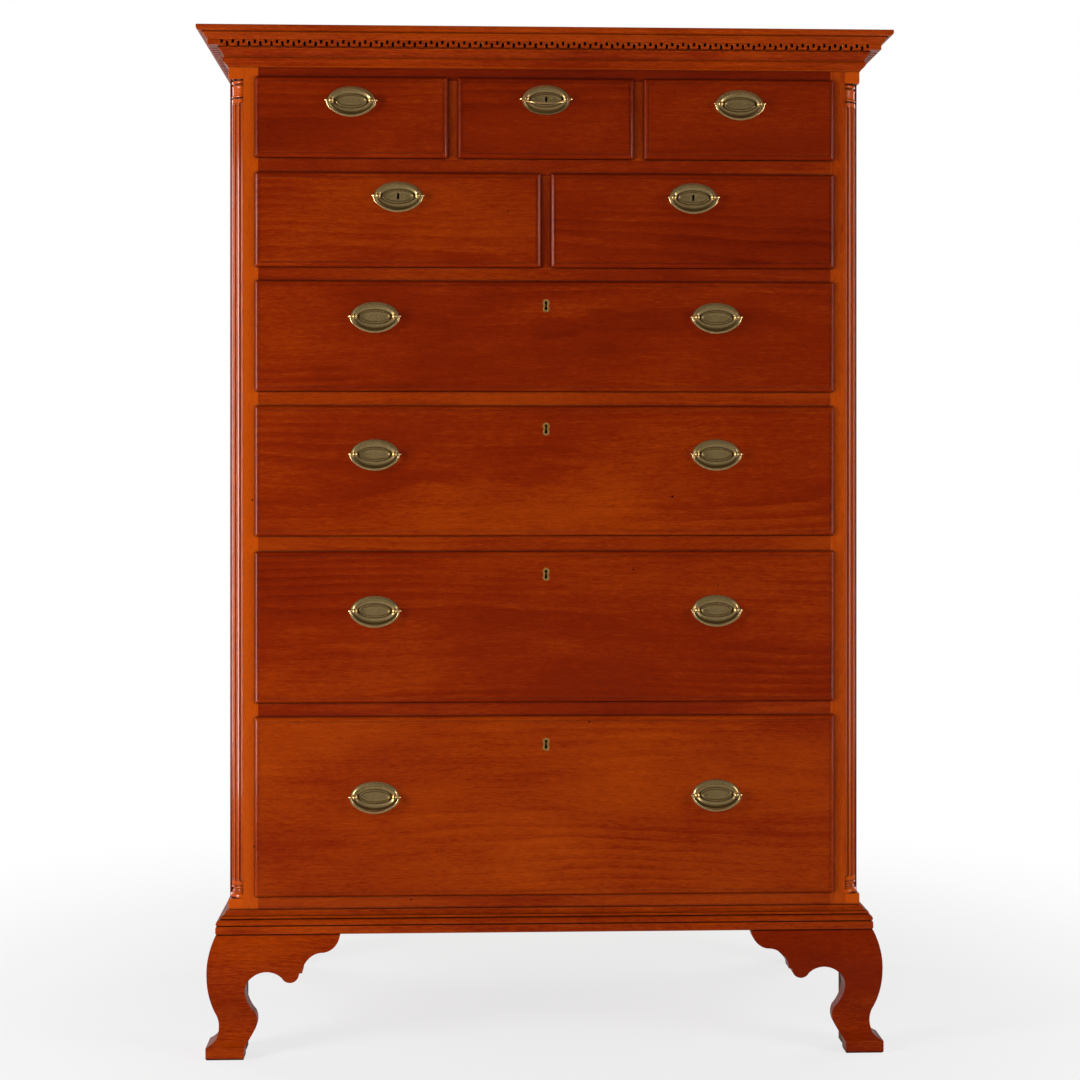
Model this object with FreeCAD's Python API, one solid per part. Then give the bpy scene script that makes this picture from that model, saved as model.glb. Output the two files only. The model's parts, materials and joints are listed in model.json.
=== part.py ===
import FreeCAD, Part
import math
import os

from collections import namedtuple
from FreeCAD import Vector

# Tall chest of nine lipped drawers, three over two over four, on ogee bracket feet, with fluted
# quarter columns in the front corners and a dentilled cornice.
#
# Millimetres. +X is to the chest's right as seen from the front, +Y to the back, +Z up. The origin
# is on the floor, in the middle of the whole outline. Pieces are drawn with Y = 0 on the front
# plane of the case and are moved by case_front_y when they are written. A profile's first number
# is how far it stands out from the case, and its second is a height.

# ---------------------------------------------------------------- the case
case_width = 1011.6
case_depth = 580.0
foot_height = 194.5
side_thickness = 23.6
post_width = 23.2
post_depth = 60.0
face_rail_depth = 25.0
top_board_thickness = 22.2
bottom_board_thickness = 20.0
bottom_board_lift = 12.5
bottom_board_housing = 8.0
back_board_thickness = 14.0
back_board_rabbet = 12.0
back_board_count = 6
back_board_gap = 1.5
divider_width = 25.6
tenon_length = 14.0
tenon_shoulder = 7.0
divider_tenon_length = 6.0

# ---------------------------------------------------------------- heights, from the bottom up
base_moulding_height = 36.0
bottom_rail_reveal = 20.6
row_heights = [285.9, 240.5, 207.1, 176.0, 150.4, 128.4]
rail_reveals = [22.6, 25.5, 23.4, 22.2, 23.6]
frieze_reveal = 15.5
cornice_height = 58.5

# ---------------------------------------------------------------- runners
runner_thickness = 20.0
runner_bearing = 24.0
guide_height = 18.0

# ---------------------------------------------------------------- drawers
lip_overlap = 4.6
lip_projection = 8.0
lip_gap = 0.3
lip_round = 6.0
lip_step = 1.0
lip_border = 8.2
front_block = 14.0
front_clearance = 0.8
top_clearance = 1.6
side_clearance = 1.5
running_gap = 0.3
drawer_back_space = 26.0
drawer_side_thickness = 11.0
drawer_back_thickness = 12.0
drawer_bottom_thickness = 8.0
drawer_side_drop = 2.0
bottom_groove_depth = 5.0
bottom_groove_height = 8.0
back_housing = 4.0
dovetail_length = 10.0
dovetail_spacing = 40.0
dovetail_slope = 0.18
middle_drawer_width = 281.4

# ---------------------------------------------------------------- places of pulls and keyholes
pull_spacing = 545.6
top_pull_drops = [39.0, 35.1, 40.7]
second_pull_drops = [38.2, 38.5]
wide_pull_drops = [57.5, 77.0, 93.7, 126.2]
wide_key_drops = [39.0, 36.7, 36.2, 44.7]

# ---------------------------------------------------------------- oval pulls
post_spacing = 63.4
plate_beyond_post = 6.3
plate_half_height = 23.5
plate_sheet = 1.0
plate_bevel = 0.2
plate_ring_height = 2.8
plate_ring_insets = [1.3, 4.1, 6.3, 11.0]
plate_boss_height = 3.4
plate_boss_insets = [12.8, 13.7, 15.5, 16.6]
post_ball_radius = 4.2
post_shank_radius = 2.5
post_collar_radius = 3.6
post_standoff = 8.5
post_tail = 6.0
post_hole_clearance = 0.2
nut_width = 10.0
nut_thickness = 3.0
bail_ball_gap = 0.7
bail_drop = 24.7
bail_end_bend = 16.0
bail_radius = 1.6
bail_pin_radius = 1.5
bail_pin_clearance = 0.06
bail_pin_reach = 0.3
bail_ear_length = 3.2
bail_ear_radius = 2.1
raised_bail_angle = 65.0

# ---------------------------------------------------------------- locks
lock_width = 46.0
lock_depth = 11.0
lock_below_key = 22.0
selvage_width = 62.0
selvage_thickness = 3.0
bolt_width = 20.0
bolt_thickness = 5.0
bolt_height = 20.0
bolt_throw = 8.0
bolt_clearance = 0.3
bolt_inset = 0.2
mortise_clearance = 1.0
key_pin_radius = 1.1
key_pocket = 8.0
boss_keyhole_width = 3.6
boss_keyhole_height = 10.0
keyhole_head_top = 8.0
keyhole_head_height = 5.2
keyhole_slot_half = 1.95
keyhole_head_foot = 3.2
keyhole_slot_foot = -2.0
keyhole_skirt_half = 2.9
keyhole_skirt_height = -5.2
keyhole_bottom = -8.1
escutcheon_thickness = 2.5
escutcheon_half_height = 10.35
escutcheon_waist_half = 4.2
escutcheon_waist_height = 0.7
escutcheon_skirt_half = 5.5
escutcheon_skirt_height = -6.0

# ---------------------------------------------------------------- cornice
cornice_projection = 46.0
crown_height = 20.5
dentil_height = 8.3
dentil_projection = 29.3
dentil_pitch = 17.3
dentil_slot_width = 3.0
dentil_slot_height = 5.8
dentil_corner = 22.0
bed_projection = 14.8

# ---------------------------------------------------------------- base moulding and feet
base_projection = 18.4
foot_projection = 32.3
foot_bulge = 30.9
foot_bulge_height = 131.0
foot_ankle = 13.5
foot_ankle_height = 47.0
foot_pad_height = 19.5
foot_stock = 36.0
bracket_length = 178.3
rear_bracket_thickness = 20.0
rear_bracket_length = 150.0
rear_bracket_end = 32.0
rear_toe_width = 24.0
rear_toe_sweep = 22.0
corner_block = 25.0
corner_block_lift = 8.0
rail_block = 22.0
rail_block_length = 80.0

# ---------------------------------------------------------------- quarter columns
column_setback = 2.9
plinth_height = 53.5
cap_block_reveal = 18.7
column_base_height = 21.0
column_capital_height = 31.0
flute_count = 4
flute_radius = 3.6
flute_depth = 2.4
flute_margin = 9.0

# ---------------------------------------------------------------- places worked out from the sizes
case_front_y = cornice_projection - (case_depth + cornice_projection) / 2
half_width = case_width / 2
top_row = len(row_heights) - 1
second_row = top_row - 1
side_inner = half_width - side_thickness
opening_half = side_inner - post_width
back_face = case_depth - back_board_thickness
drawer_length = back_face - drawer_back_space
base_top = foot_height + base_moulding_height
dovetail_root = front_block
bottom_board_top = foot_height + bottom_board_lift + bottom_board_thickness
pull_face = -lip_projection
pivot_y = pull_face - post_standoff
plate_half_width = post_spacing / 2 + plate_beyond_post
bail_half_width = post_spacing / 2 + post_ball_radius + bail_ball_gap + bail_radius

Opening = namedtuple("Opening", "left right floor ceiling")
Drawer = namedtuple("Drawer", "name opening pulls lock_z inlaid")
Pull = namedtuple("Pull", "bail x z keyed raised")


def lip_levels():
    """Bottom and top of each row's lips, from the bottom row up, and the cornice's underside."""
    levels = []
    level = base_top + bottom_rail_reveal
    for height, reveal in zip(row_heights, rail_reveals + [frieze_reveal]):
        levels.append((level, level + height))
        level += height + reveal
    return levels, level


row_lips, cornice_bottom = lip_levels()
case_top = cornice_bottom + cornice_height
top_board_bottom = case_top - top_board_thickness
dentil_top = case_top - crown_height
dentil_bottom = dentil_top - dentil_height
plinth_top = foot_height + plinth_height
cap_bottom = cornice_bottom - cap_block_reveal


# ---------------------------------------------------------------- general shapes
def box(x0, x1, y0, y1, z0, z1):
    return Part.makeBox(x1 - x0, y1 - y0, z1 - z0, Vector(x0, y0, z0))


def mirrored(shape):
    """The same piece on the other side of the chest."""
    return shape.mirror(Vector(0, 0, 0), Vector(1, 0, 0))


def both_sides(shape):
    return [mirrored(shape), shape]


def closed_face(start, steps, place):
    """Face inside an outline. Each step is (end,) for a line or (middle, end) for an arc."""
    edges = []
    here = start
    for step in list(steps) + [(start,)]:
        end = step[-1]
        if math.dist(here, end) < 1e-6:
            continue
        if len(step) == 2:
            edges.append(Part.Arc(place(*here), place(*step[0]), place(*end)).toShape())
        else:
            edges.append(Part.LineSegment(place(*here), place(*end)).toShape())
        here = end
    return Part.Face(Part.Wire(edges))


def flat_prism(points, z0, z1):
    """Upright prism over a polygon of (x, y) points."""
    steps = [(point,) for point in points[1:]]
    face = closed_face(points[0], steps, lambda x, y: Vector(x, y, z0))
    return face.extrude(Vector(0, 0, z1 - z0))


def front_wedge(inner, outer, z0, z1):
    """Space that a front run of moulding may fill, with mitres at both front corners."""
    points = [
        (-half_width + inner, inner),
        (half_width - inner, inner),
        (half_width + outer, -outer),
        (-half_width - outer, -outer),
    ]
    return flat_prism(points, z0, z1)


def side_wedge(inner, outer, z0, z1):
    """Space that the right-hand run of moulding may fill, with a mitre at its front end."""
    points = [
        (half_width - inner, inner),
        (half_width + outer, -outer),
        (half_width + outer, case_depth),
        (half_width - inner, case_depth),
    ]
    return flat_prism(points, z0, z1)


def mitred_runs(start, steps, z0, z1):
    """Front, left and right lengths of a moulding with the given section."""
    reach = cornice_projection + foot_projection
    front = closed_face(start, steps, lambda out, z: Vector(-half_width - reach, -out, z))
    front = front.extrude(Vector(2 * (half_width + reach), 0, 0))
    front = front.common(front_wedge(0, reach, z0, z1))
    side = closed_face(start, steps, lambda out, z: Vector(half_width + out, -reach, z))
    side = side.extrude(Vector(0, case_depth + reach, 0))
    side = side.common(side_wedge(0, reach, z0, z1))
    return [front] + both_sides(side)


# ---------------------------------------------------------------- openings and drawers
def row_opening(row, left, right):
    lip_bottom, lip_top = row_lips[row]
    return Opening(left, right, lip_bottom - front_clearance, lip_top - lip_overlap)


def split_openings():
    """Openings of the two divided rows: second row, then top row."""
    half_divider = divider_width / 2
    middle = middle_drawer_width / 2 - lip_overlap
    second = [(-opening_half, -half_divider), (half_divider, opening_half)]
    outer = middle + divider_width
    top = [(-opening_half, -outer), (-middle, middle), (outer, opening_half)]
    return second, top


def divider_places():
    """(row, centre x) of each upright divider between drawers."""
    second, top = split_openings()
    places = []
    for row, spans in ((second_row, second), (top_row, top)):
        for span, following in zip(spans, spans[1:]):
            places.append((row, (span[1] + following[0]) / 2))
    return places


def single_pull_drawer(name, row, span, pull_drop, locked, raised):
    x = (span[0] + span[1]) / 2
    z = row_lips[row][1] - pull_drop
    pull = Pull(name + "_drawer_bail", x, z, locked, raised)
    return Drawer(name, row_opening(row, *span), [pull], z if locked else None, False)


def wide_drawer(name, row, pull_drop, key_drop):
    lip_top = row_lips[row][1]
    pulls = []
    for side, x in (("left", -pull_spacing / 2), ("right", pull_spacing / 2)):
        pulls.append(Pull(name + "_drawer_" + side + "_bail", x, lip_top - pull_drop, False, False))
    opening = row_opening(row, -opening_half, opening_half)
    return Drawer(name, opening, pulls, lip_top - key_drop, True)


def all_drawers():
    second, top = split_openings()
    return [
        single_pull_drawer("top_left", top_row, top[0], top_pull_drops[0], False, False),
        single_pull_drawer("top_middle", top_row, top[1], top_pull_drops[1], True, True),
        single_pull_drawer("top_right", top_row, top[2], top_pull_drops[2], False, False),
        single_pull_drawer("second_left", second_row, second[0], second_pull_drops[0], True, False),
        single_pull_drawer("second_right", second_row, second[1], second_pull_drops[1], True, False),
        wide_drawer("third", 3, wide_pull_drops[0], wide_key_drops[0]),
        wide_drawer("fourth", 2, wide_pull_drops[1], wide_key_drops[1]),
        wide_drawer("fifth", 1, wide_pull_drops[2], wide_key_drops[2]),
        wide_drawer("bottom", 0, wide_pull_drops[3], wide_key_drops[3]),
    ]


# ---------------------------------------------------------------- case boards
def bottom_board():
    """Lies in housings in the two sides, notched round the corner posts."""
    z0 = foot_height + bottom_board_lift
    reach = side_inner + bottom_board_housing
    front_part = box(-opening_half, opening_half, face_rail_depth, post_depth, z0, bottom_board_top)
    main_part = box(-reach, reach, post_depth, back_face, z0, bottom_board_top)
    return front_part.fuse(main_part).removeSplitter()


def top_board():
    return box(-half_width, half_width, 0, case_depth, top_board_bottom, case_top)


def side_board():
    """Right-hand side, behind the corner column, rabbeted for the back boards."""
    board = box(side_inner, half_width, side_thickness, case_depth, foot_height, top_board_bottom)
    rabbet = box(
        side_inner, side_inner + back_board_rabbet, back_face, case_depth, foot_height, top_board_bottom
    )
    return board.cut([rabbet, bottom_board()])


def back_boards():
    """Level boards nailed one above another, with a shrinkage gap between them."""
    reach = side_inner + back_board_rabbet
    pitch = (top_board_bottom - foot_height + back_board_gap) / back_board_count
    boards = []
    for index in range(back_board_count):
        z0 = foot_height + index * pitch
        boards.append(box(-reach, reach, back_face, case_depth, z0, z0 + pitch - back_board_gap))
    return boards


def rail_spans():
    """(bottom, top, depth) of every cross rail between the posts, from the bottom up."""
    openings = [row_opening(row, 0, 0) for row in range(len(row_heights))]
    spans = [(foot_height, openings[0].floor, face_rail_depth)]
    for lower, upper in zip(openings, openings[1:]):
        spans.append((lower.ceiling, upper.floor, post_depth))
    spans.append((openings[-1].ceiling, top_board_bottom, face_rail_depth))
    return spans


def rail_tenons(z0, z1, depth):
    tenon = box(
        opening_half,
        opening_half + tenon_length,
        tenon_shoulder,
        depth - tenon_shoulder,
        z0 + tenon_shoulder,
        z1 - tenon_shoulder,
    )
    return both_sides(tenon)


def divider_tenons(opening, x):
    """Stub tenons into the rails above and below a divider."""
    half = divider_width / 2 - tenon_shoulder
    depth = face_rail_depth - tenon_shoulder
    low = box(x - half, x + half, tenon_shoulder, depth, opening.floor - divider_tenon_length, opening.floor)
    top = opening.ceiling + divider_tenon_length
    high = box(x - half, x + half, tenon_shoulder, depth, opening.ceiling, top)
    return [low, high]


def bolt_mortise(drawer):
    """Pocket in the underside of the rail above a lock."""
    half = bolt_width / 2 + mortise_clearance
    y0, y1 = bolt_span_y()
    ceiling = drawer.opening.ceiling
    depth = bolt_throw - top_clearance + mortise_clearance
    x = lock_x(drawer)
    return box(x - half, x + half, y0 - mortise_clearance, y1 + mortise_clearance, ceiling, ceiling + depth)


def corner_post():
    """Right-hand front post, mortised for every rail."""
    post = box(opening_half, side_inner, 0, post_depth, foot_height, top_board_bottom)
    tenons = [rail_tenons(*span)[1] for span in rail_spans()]
    return post.cut(tenons)


def drawer_rails():
    """Cross rails and upright dividers, with their tenons and the mortises for the lock bolts."""
    cuts = [bolt_mortise(drawer) for drawer in all_drawers() if drawer.lock_z]
    dividers = []
    for row, x in divider_places():
        opening = row_opening(row, x - divider_width / 2, x + divider_width / 2)
        tenons = divider_tenons(opening, x)
        upright = box(opening.left, opening.right, 0, post_depth, opening.floor, opening.ceiling)
        dividers.append(upright.fuse(tenons).removeSplitter())
        cuts.extend(tenons)
    rails = []
    for z0, z1, depth in rail_spans():
        rail = box(-opening_half, opening_half, 0, depth, z0, z1)
        rails.append(rail.fuse(rail_tenons(z0, z1, depth)).removeSplitter().cut(cuts))
    return rails + dividers


def side_runner(floor, thickness):
    runner = box(
        opening_half - runner_bearing, side_inner, post_depth, back_face, floor - thickness, floor
    )
    guide = box(opening_half, side_inner, post_depth, back_face, floor, floor + guide_height)
    return both_sides(runner) + both_sides(guide)


def centre_runner(floor, x):
    half = divider_width / 2
    left = x - half
    right = x + half
    runner = box(
        left - runner_bearing, right + runner_bearing, post_depth, back_face, floor - runner_thickness, floor
    )
    guide = box(left, right, post_depth, back_face, floor, floor + guide_height)
    return [runner, guide]


def drawer_runners():
    """Runners level with the rails, and guides on them that keep the drawers straight."""
    pieces = []
    for row in range(len(row_heights)):
        floor = row_opening(row, 0, 0).floor
        thickness = runner_thickness if row else floor - bottom_board_top
        pieces.extend(side_runner(floor, thickness))
    for row, x in divider_places():
        pieces.extend(centre_runner(row_opening(row, 0, 0).floor, x))
    return pieces


# ---------------------------------------------------------------- quarter columns
def column_section():
    """Half section of the turned column as (radius, height) steps."""
    r = side_thickness - column_setback
    low = plinth_top
    neck = low + column_base_height
    top = cap_bottom
    collar = top - column_capital_height
    start = (0, low)
    steps = [
        ((r + 2.2, low),),
        ((r + 2.7, low + 3.2), (r + 0.6, low + 7.6)),
        ((r - 0.6, low + 8.2),),
        ((r - 0.6, low + 10.6),),
        ((r - 2.4, low + 13.0), (r - 1.2, low + 15.2)),
        ((r + 0.2, low + 17.0), (r - 1.2, low + 18.8)),
        ((r - 1.2, neck - 1.2),),
        ((r, neck),),
        ((r, collar),),
        ((r - 2.8, collar + 1.0),),
        ((r - 2.8, collar + 2.2),),
        ((r - 0.4, collar + 2.8),),
        ((r + 0.1, collar + 4.4), (r - 0.4, collar + 6.0)),
        ((r - 0.9, collar + 6.6),),
        ((r - 0.9, top - 13.4),),
        ((r - 0.3, top - 11.3), (r - 0.9, top - 9.2)),
        ((r - 2.6, top - 8.6),),
        ((r - 2.6, top - 7.6),),
        ((r + 0.2, top - 4.0), (r - 1.2, top - 0.8)),
        ((r - 1.2, top),),
        ((0, top),),
    ]
    return start, steps


def flute(angle):
    """Round-ended channel along the shaft, at an angle from the +X side of the column."""
    r = side_thickness - column_setback - flute_depth + flute_radius
    x = side_inner + r * math.cos(angle)
    y = side_thickness - r * math.sin(angle)
    z0 = plinth_top + column_base_height + flute_margin
    z1 = cap_bottom - column_capital_height - flute_margin
    channel = Part.makeCylinder(flute_radius, z1 - z0, Vector(x, y, z0))
    ends = [Part.makeSphere(flute_radius, Vector(x, y, z)) for z in (z0, z1)]
    return channel.fuse(ends)


def quarter_column():
    start, steps = column_section()
    face = closed_face(start, steps, lambda r, z: Vector(side_inner + r, side_thickness, z))
    axis = Vector(side_inner, side_thickness, 0)
    column = face.revolve(axis, Vector(0, 0, -1), 90)
    angles = [(index + 0.5) * math.pi / 2 / flute_count for index in range(flute_count)]
    return column.cut([flute(angle) for angle in angles])


def quarter_columns():
    """The two fluted columns, each between its plinth and its cap block."""
    plinth = box(side_inner, half_width, 0, side_thickness, foot_height, plinth_top)
    cap = box(side_inner, half_width, 0, side_thickness, cap_bottom, top_board_bottom)
    pieces = []
    for piece in (plinth, quarter_column(), cap):
        pieces.extend(both_sides(piece))
    return pieces


# ---------------------------------------------------------------- cornice
def crown_moulding():
    """Top moulding: square edge, quarter round, fillet and hollow down to the dentil course."""
    out = cornice_projection
    spread = cornice_projection - dentil_projection
    high = case_top
    unit = crown_height
    steps = [
        ((0, high),),
        ((out - 1.4, high),),
        ((out - 0.4, high - 0.4), (out, high - 1.4)),
        ((out, high - 0.18 * unit),),
        ((out - 0.11 * spread, high - 0.34 * unit), (out - 0.36 * spread, high - 0.44 * unit)),
        ((out - 0.42 * spread, high - 0.44 * unit),),
        ((out - 0.52 * spread, high - 0.60 * unit),),
        ((out - 0.68 * spread, high - 0.64 * unit),),
        ((out - 0.82 * spread, high - 0.84 * unit), (dentil_projection + 0.5, dentil_top)),
        ((bed_projection, dentil_top),),
        ((bed_projection, dentil_bottom),),
    ]
    return mitred_runs((0, dentil_bottom), steps, dentil_bottom, case_top)


def bed_moulding():
    """Lower moulding: fillet, cove, bead and bevel down to the frieze."""
    out = bed_projection
    high = dentil_bottom
    drop = dentil_bottom - cornice_bottom
    steps = [
        ((0, high),),
        ((out, high),),
        ((out, high - 0.08 * drop),),
        ((0.70 * out, high - 0.24 * drop), (0.51 * out, high - 0.51 * drop)),
        ((0.60 * out, high - 0.57 * drop),),
        ((0.57 * out, high - 0.70 * drop), (0.41 * out, high - 0.80 * drop)),
        ((0.08 * out, high - 0.95 * drop),),
        ((0.08 * out, cornice_bottom),),
    ]
    return mitred_runs((0, cornice_bottom), steps, cornice_bottom, dentil_bottom)


def comb_outline(start, end, first, last):
    """Outline of a dentil strip, slotted from above and from below by turns."""
    count = round((last - first) / dentil_pitch)
    pitch = (last - first) / count
    half = dentil_slot_width / 2
    above = []
    below = []
    floor = dentil_top - dentil_slot_height
    roof = dentil_bottom + dentil_slot_height
    for index in range(count + 1):
        left = first + index * pitch - half
        right = left + dentil_slot_width
        above += [(left, dentil_top), (left, floor), (right, floor), (right, dentil_top)]
    for index in range(count):
        left = first + (index + 0.5) * pitch - half
        right = left + dentil_slot_width
        below += [(left, dentil_bottom), (left, roof), (right, roof), (right, dentil_bottom)]
    outline = [(start, dentil_top)] + above + [(end, dentil_top), (end, dentil_bottom)]
    return outline + below[::-1] + [(start, dentil_bottom)]


def dentil_band():
    """Slotted strips across the front and along both sides, under the crown moulding."""
    depth = dentil_projection - bed_projection
    reach = half_width + dentil_projection
    outline = comb_outline(-reach, reach, dentil_corner - reach, reach - dentil_corner)
    steps = [(point,) for point in outline[1:]]
    front = closed_face(outline[0], steps, lambda x, z: Vector(x, -dentil_projection, z))
    front = front.extrude(Vector(0, depth, 0))
    first = dentil_corner - dentil_projection
    outline = comb_outline(-bed_projection, case_depth, first, case_depth - dentil_corner)
    steps = [(point,) for point in outline[1:]]
    side = closed_face(outline[0], steps, lambda y, z: Vector(half_width + bed_projection, y, z))
    side = side.extrude(Vector(depth, 0, 0))
    return [front] + both_sides(side)


# ---------------------------------------------------------------- base
def base_moulding():
    """Hollow, fillet and quarter round over a flat band, round the foot of the case."""
    out = base_projection
    low = foot_height
    unit = base_moulding_height
    steps = [
        ((0, base_top),),
        ((0.22 * out, base_top),),
        ((0.33 * out, low + 0.83 * unit), (0.62 * out, low + 0.71 * unit)),
        ((0.73 * out, low + 0.71 * unit),),
        ((0.73 * out, low + 0.62 * unit),),
        ((0.94 * out, low + 0.56 * unit), (out, low + 0.42 * unit)),
        ((0.94 * out, low + 0.36 * unit),),
        ((out, low + 0.30 * unit),),
        ((out, low),),
    ]
    return mitred_runs((0, low), steps, low, base_top)


def foot_section():
    """Ogee section of a bracket foot, as (out, height) steps from the flat inner face."""
    inner = foot_projection - foot_stock
    pad = foot_pad_height
    steps = [
        ((foot_projection, 0),),
        ((foot_projection, pad),),
        ((foot_ankle + 8.1, pad + 6.0), (foot_ankle + 3.9, pad + 10.0)),
        ((foot_ankle, foot_ankle_height), (foot_ankle + 5.1, foot_ankle_height + 24.0)),
        ((foot_bulge - 3.4, foot_bulge_height - 31.0), (foot_bulge, foot_bulge_height)),
        ((foot_bulge - 2.5, foot_bulge_height + 32.0), (base_projection, foot_height)),
        ((inner, foot_height),),
    ]
    return (inner, 0), steps


def bracket_steps(far):
    """Sawn edge of a bracket, as (distance in from the case's corner, height)."""
    tip = bracket_length
    top = foot_height
    steps = [
        ((tip - 9.6, top - 19.9), (tip - 25.0, top - 27.1)),
        ((tip - 49.0, top - 36.1), (tip - 59.0, top - 58.5)),
        ((tip - 64.0, top - 58.5),),
        ((100.5, 120.8), (87.3, 128.8)),
        ((64.8, 138.4), (40.6, 130.2)),
        ((31.5, 119.0), (29.4, 103.9)),
        ((34.4, 87.0), (44.5, 71.6)),
        ((47.3, 61.0), (42.9, 42.7)),
        ((36.8, 31.9), (29.0, foot_pad_height)),
        ((27.0, 0),),
        ((far, 0),),
        ((far, top),),
    ]
    return (tip, top), steps


def front_foot():
    """Front and side brackets of the right front foot, mitred at the corner."""
    reach = foot_projection + 10.0
    inner = foot_stock - foot_projection
    start, steps = foot_section()
    outline_start, outline_steps = bracket_steps(-reach)
    inward = half_width - bracket_length

    face = closed_face(start, steps, lambda out, z: Vector(inward, -out, z))
    front = face.extrude(Vector(bracket_length + reach, 0, 0))
    outline = closed_face(outline_start, outline_steps, lambda u, z: Vector(half_width - u, -reach, z))
    outline = outline.extrude(Vector(0, reach + inner + 1, 0))
    front = front.common(front_wedge(inner, reach, 0, foot_height)).common(outline)

    face = closed_face(start, steps, lambda out, z: Vector(half_width + out, -reach, z))
    side = face.extrude(Vector(0, bracket_length + reach, 0))
    outline = closed_face(outline_start, outline_steps, lambda u, z: Vector(half_width - inner - 1, u, z))
    outline = outline.extrude(Vector(reach + inner + 1, 0, 0))
    side = side.common(side_wedge(inner, reach, 0, foot_height)).common(outline)
    return [front, side]


def rear_foot():
    """Side bracket of the right rear foot, and the plain board behind it."""
    reach = foot_projection + 10.0
    inner = foot_stock - foot_projection
    start, steps = foot_section()
    outline_start, outline_steps = bracket_steps(-foot_projection)
    length = bracket_length + foot_projection
    face = closed_face(start, steps, lambda out, z: Vector(half_width + out, case_depth - length, z))
    side = face.extrude(Vector(0, length, 0))
    outline = closed_face(
        outline_start,
        outline_steps,
        lambda u, z: Vector(half_width - inner - 1, case_depth - foot_projection - u, z),
    )
    side = side.common(outline.extrude(Vector(reach + inner + 1, 0, 0)))

    edge = half_width - inner
    tip = half_width - rear_bracket_length
    toe = edge - corner_block - rear_toe_width
    board_steps = [
        ((toe, 0),),
        ((toe - rear_toe_sweep, 0.5 * foot_height), (tip, foot_height - rear_bracket_end)),
        ((tip, foot_height),),
        ((edge, foot_height),),
    ]
    front_of_board = case_depth - rear_bracket_thickness
    board = closed_face((edge, 0), board_steps, lambda x, z: Vector(x, front_of_board, z))
    return [side, board.extrude(Vector(0, rear_bracket_thickness, 0))]


def bracket_feet():
    pieces = []
    for piece in front_foot() + rear_foot():
        pieces.extend(both_sides(piece))
    return pieces


def foot_glue_blocks():
    """Upright blocks in the corners of the feet, and level ones behind the brackets."""
    inner = foot_stock - foot_projection
    edge = half_width - inner
    rear = case_depth - rear_bracket_thickness
    inward = edge - corner_block
    low = corner_block_lift
    level = foot_height - rail_block
    blocks = [
        box(inward, edge, inner, inner + corner_block, low, foot_height),
        box(inward, edge, rear - corner_block, rear, low, foot_height),
        box(inward - rail_block_length, inward, inner, inner + rail_block, level, foot_height),
        box(
            edge - rail_block,
            edge,
            inner + corner_block,
            inner + corner_block + rail_block_length,
            level,
            foot_height,
        ),
        box(
            edge - rail_block,
            edge,
            rear - corner_block - rail_block_length,
            rear - corner_block,
            level,
            foot_height,
        ),
    ]
    pieces = []
    for block in blocks:
        pieces.extend(both_sides(block))
    return pieces


# ---------------------------------------------------------------- drawer boards
def block_edges(opening):
    """Left, right and top of the part of a drawer that enters its opening."""
    return opening.left + side_clearance, opening.right - side_clearance, opening.ceiling - top_clearance


def side_heights(opening):
    """Bottom and top of a drawer's sides."""
    return opening.floor + running_gap, opening.ceiling - top_clearance - drawer_side_drop


def lock_x(drawer):
    return (drawer.opening.left + drawer.opening.right) / 2


def dovetails(opening):
    """Tails on the front ends of both sides of a drawer, as one list."""
    left, right, _ = block_edges(opening)
    z0, z1 = side_heights(opening)
    low = z0 + bottom_groove_height + drawer_bottom_thickness
    count = max(2, round((z1 - low) / dovetail_spacing))
    pitch = (z1 - low) / count
    flare = dovetail_length * dovetail_slope
    half_root = pitch * 0.36 - flare
    tip_y = dovetail_root - dovetail_length
    tails = []
    for index in range(count):
        z = low + (index + 0.5) * pitch
        for x in (left, right - drawer_side_thickness):
            face = closed_face(
                (dovetail_root, z - half_root),
                [
                    ((dovetail_root, z + half_root),),
                    ((tip_y, z + half_root + flare),),
                    ((tip_y, z - half_root - flare),),
                ],
                lambda y, height: Vector(x, y, height),
            )
            tails.append(face.extrude(Vector(drawer_side_thickness, 0, 0)))
    return tails


def drawer_bottom_board(opening):
    """Bottom board in grooves in the front and the sides, running out under the back."""
    left, right, _ = block_edges(opening)
    inset = drawer_side_thickness - bottom_groove_depth
    z0 = side_heights(opening)[0] + bottom_groove_height
    front = front_block - bottom_groove_depth
    return box(left + inset, right - inset, front, drawer_length, z0, z0 + drawer_bottom_thickness)


def drawer_back_board(opening):
    left, right, _ = block_edges(opening)
    inset = drawer_side_thickness - back_housing
    z0, z1 = side_heights(opening)
    z0 += bottom_groove_height + drawer_bottom_thickness
    y0 = drawer_length - drawer_back_thickness
    return box(left + inset, right - inset, y0, drawer_length, z0, z1)


def drawer_box(drawer):
    """Two dovetailed sides, a back and a bottom."""
    opening = drawer.opening
    left, right, _ = block_edges(opening)
    z0, z1 = side_heights(opening)
    back = drawer_back_board(opening)
    bottom = drawer_bottom_board(opening)
    tails = dovetails(opening)
    sides = []
    for x, own_tails in ((left, tails[0::2]), (right - drawer_side_thickness, tails[1::2])):
        board = box(x, x + drawer_side_thickness, dovetail_root, drawer_length, z0, z1)
        sides.append(board.fuse(own_tails).removeSplitter().cut([back, bottom]))
    return sides + [back, bottom]


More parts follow.
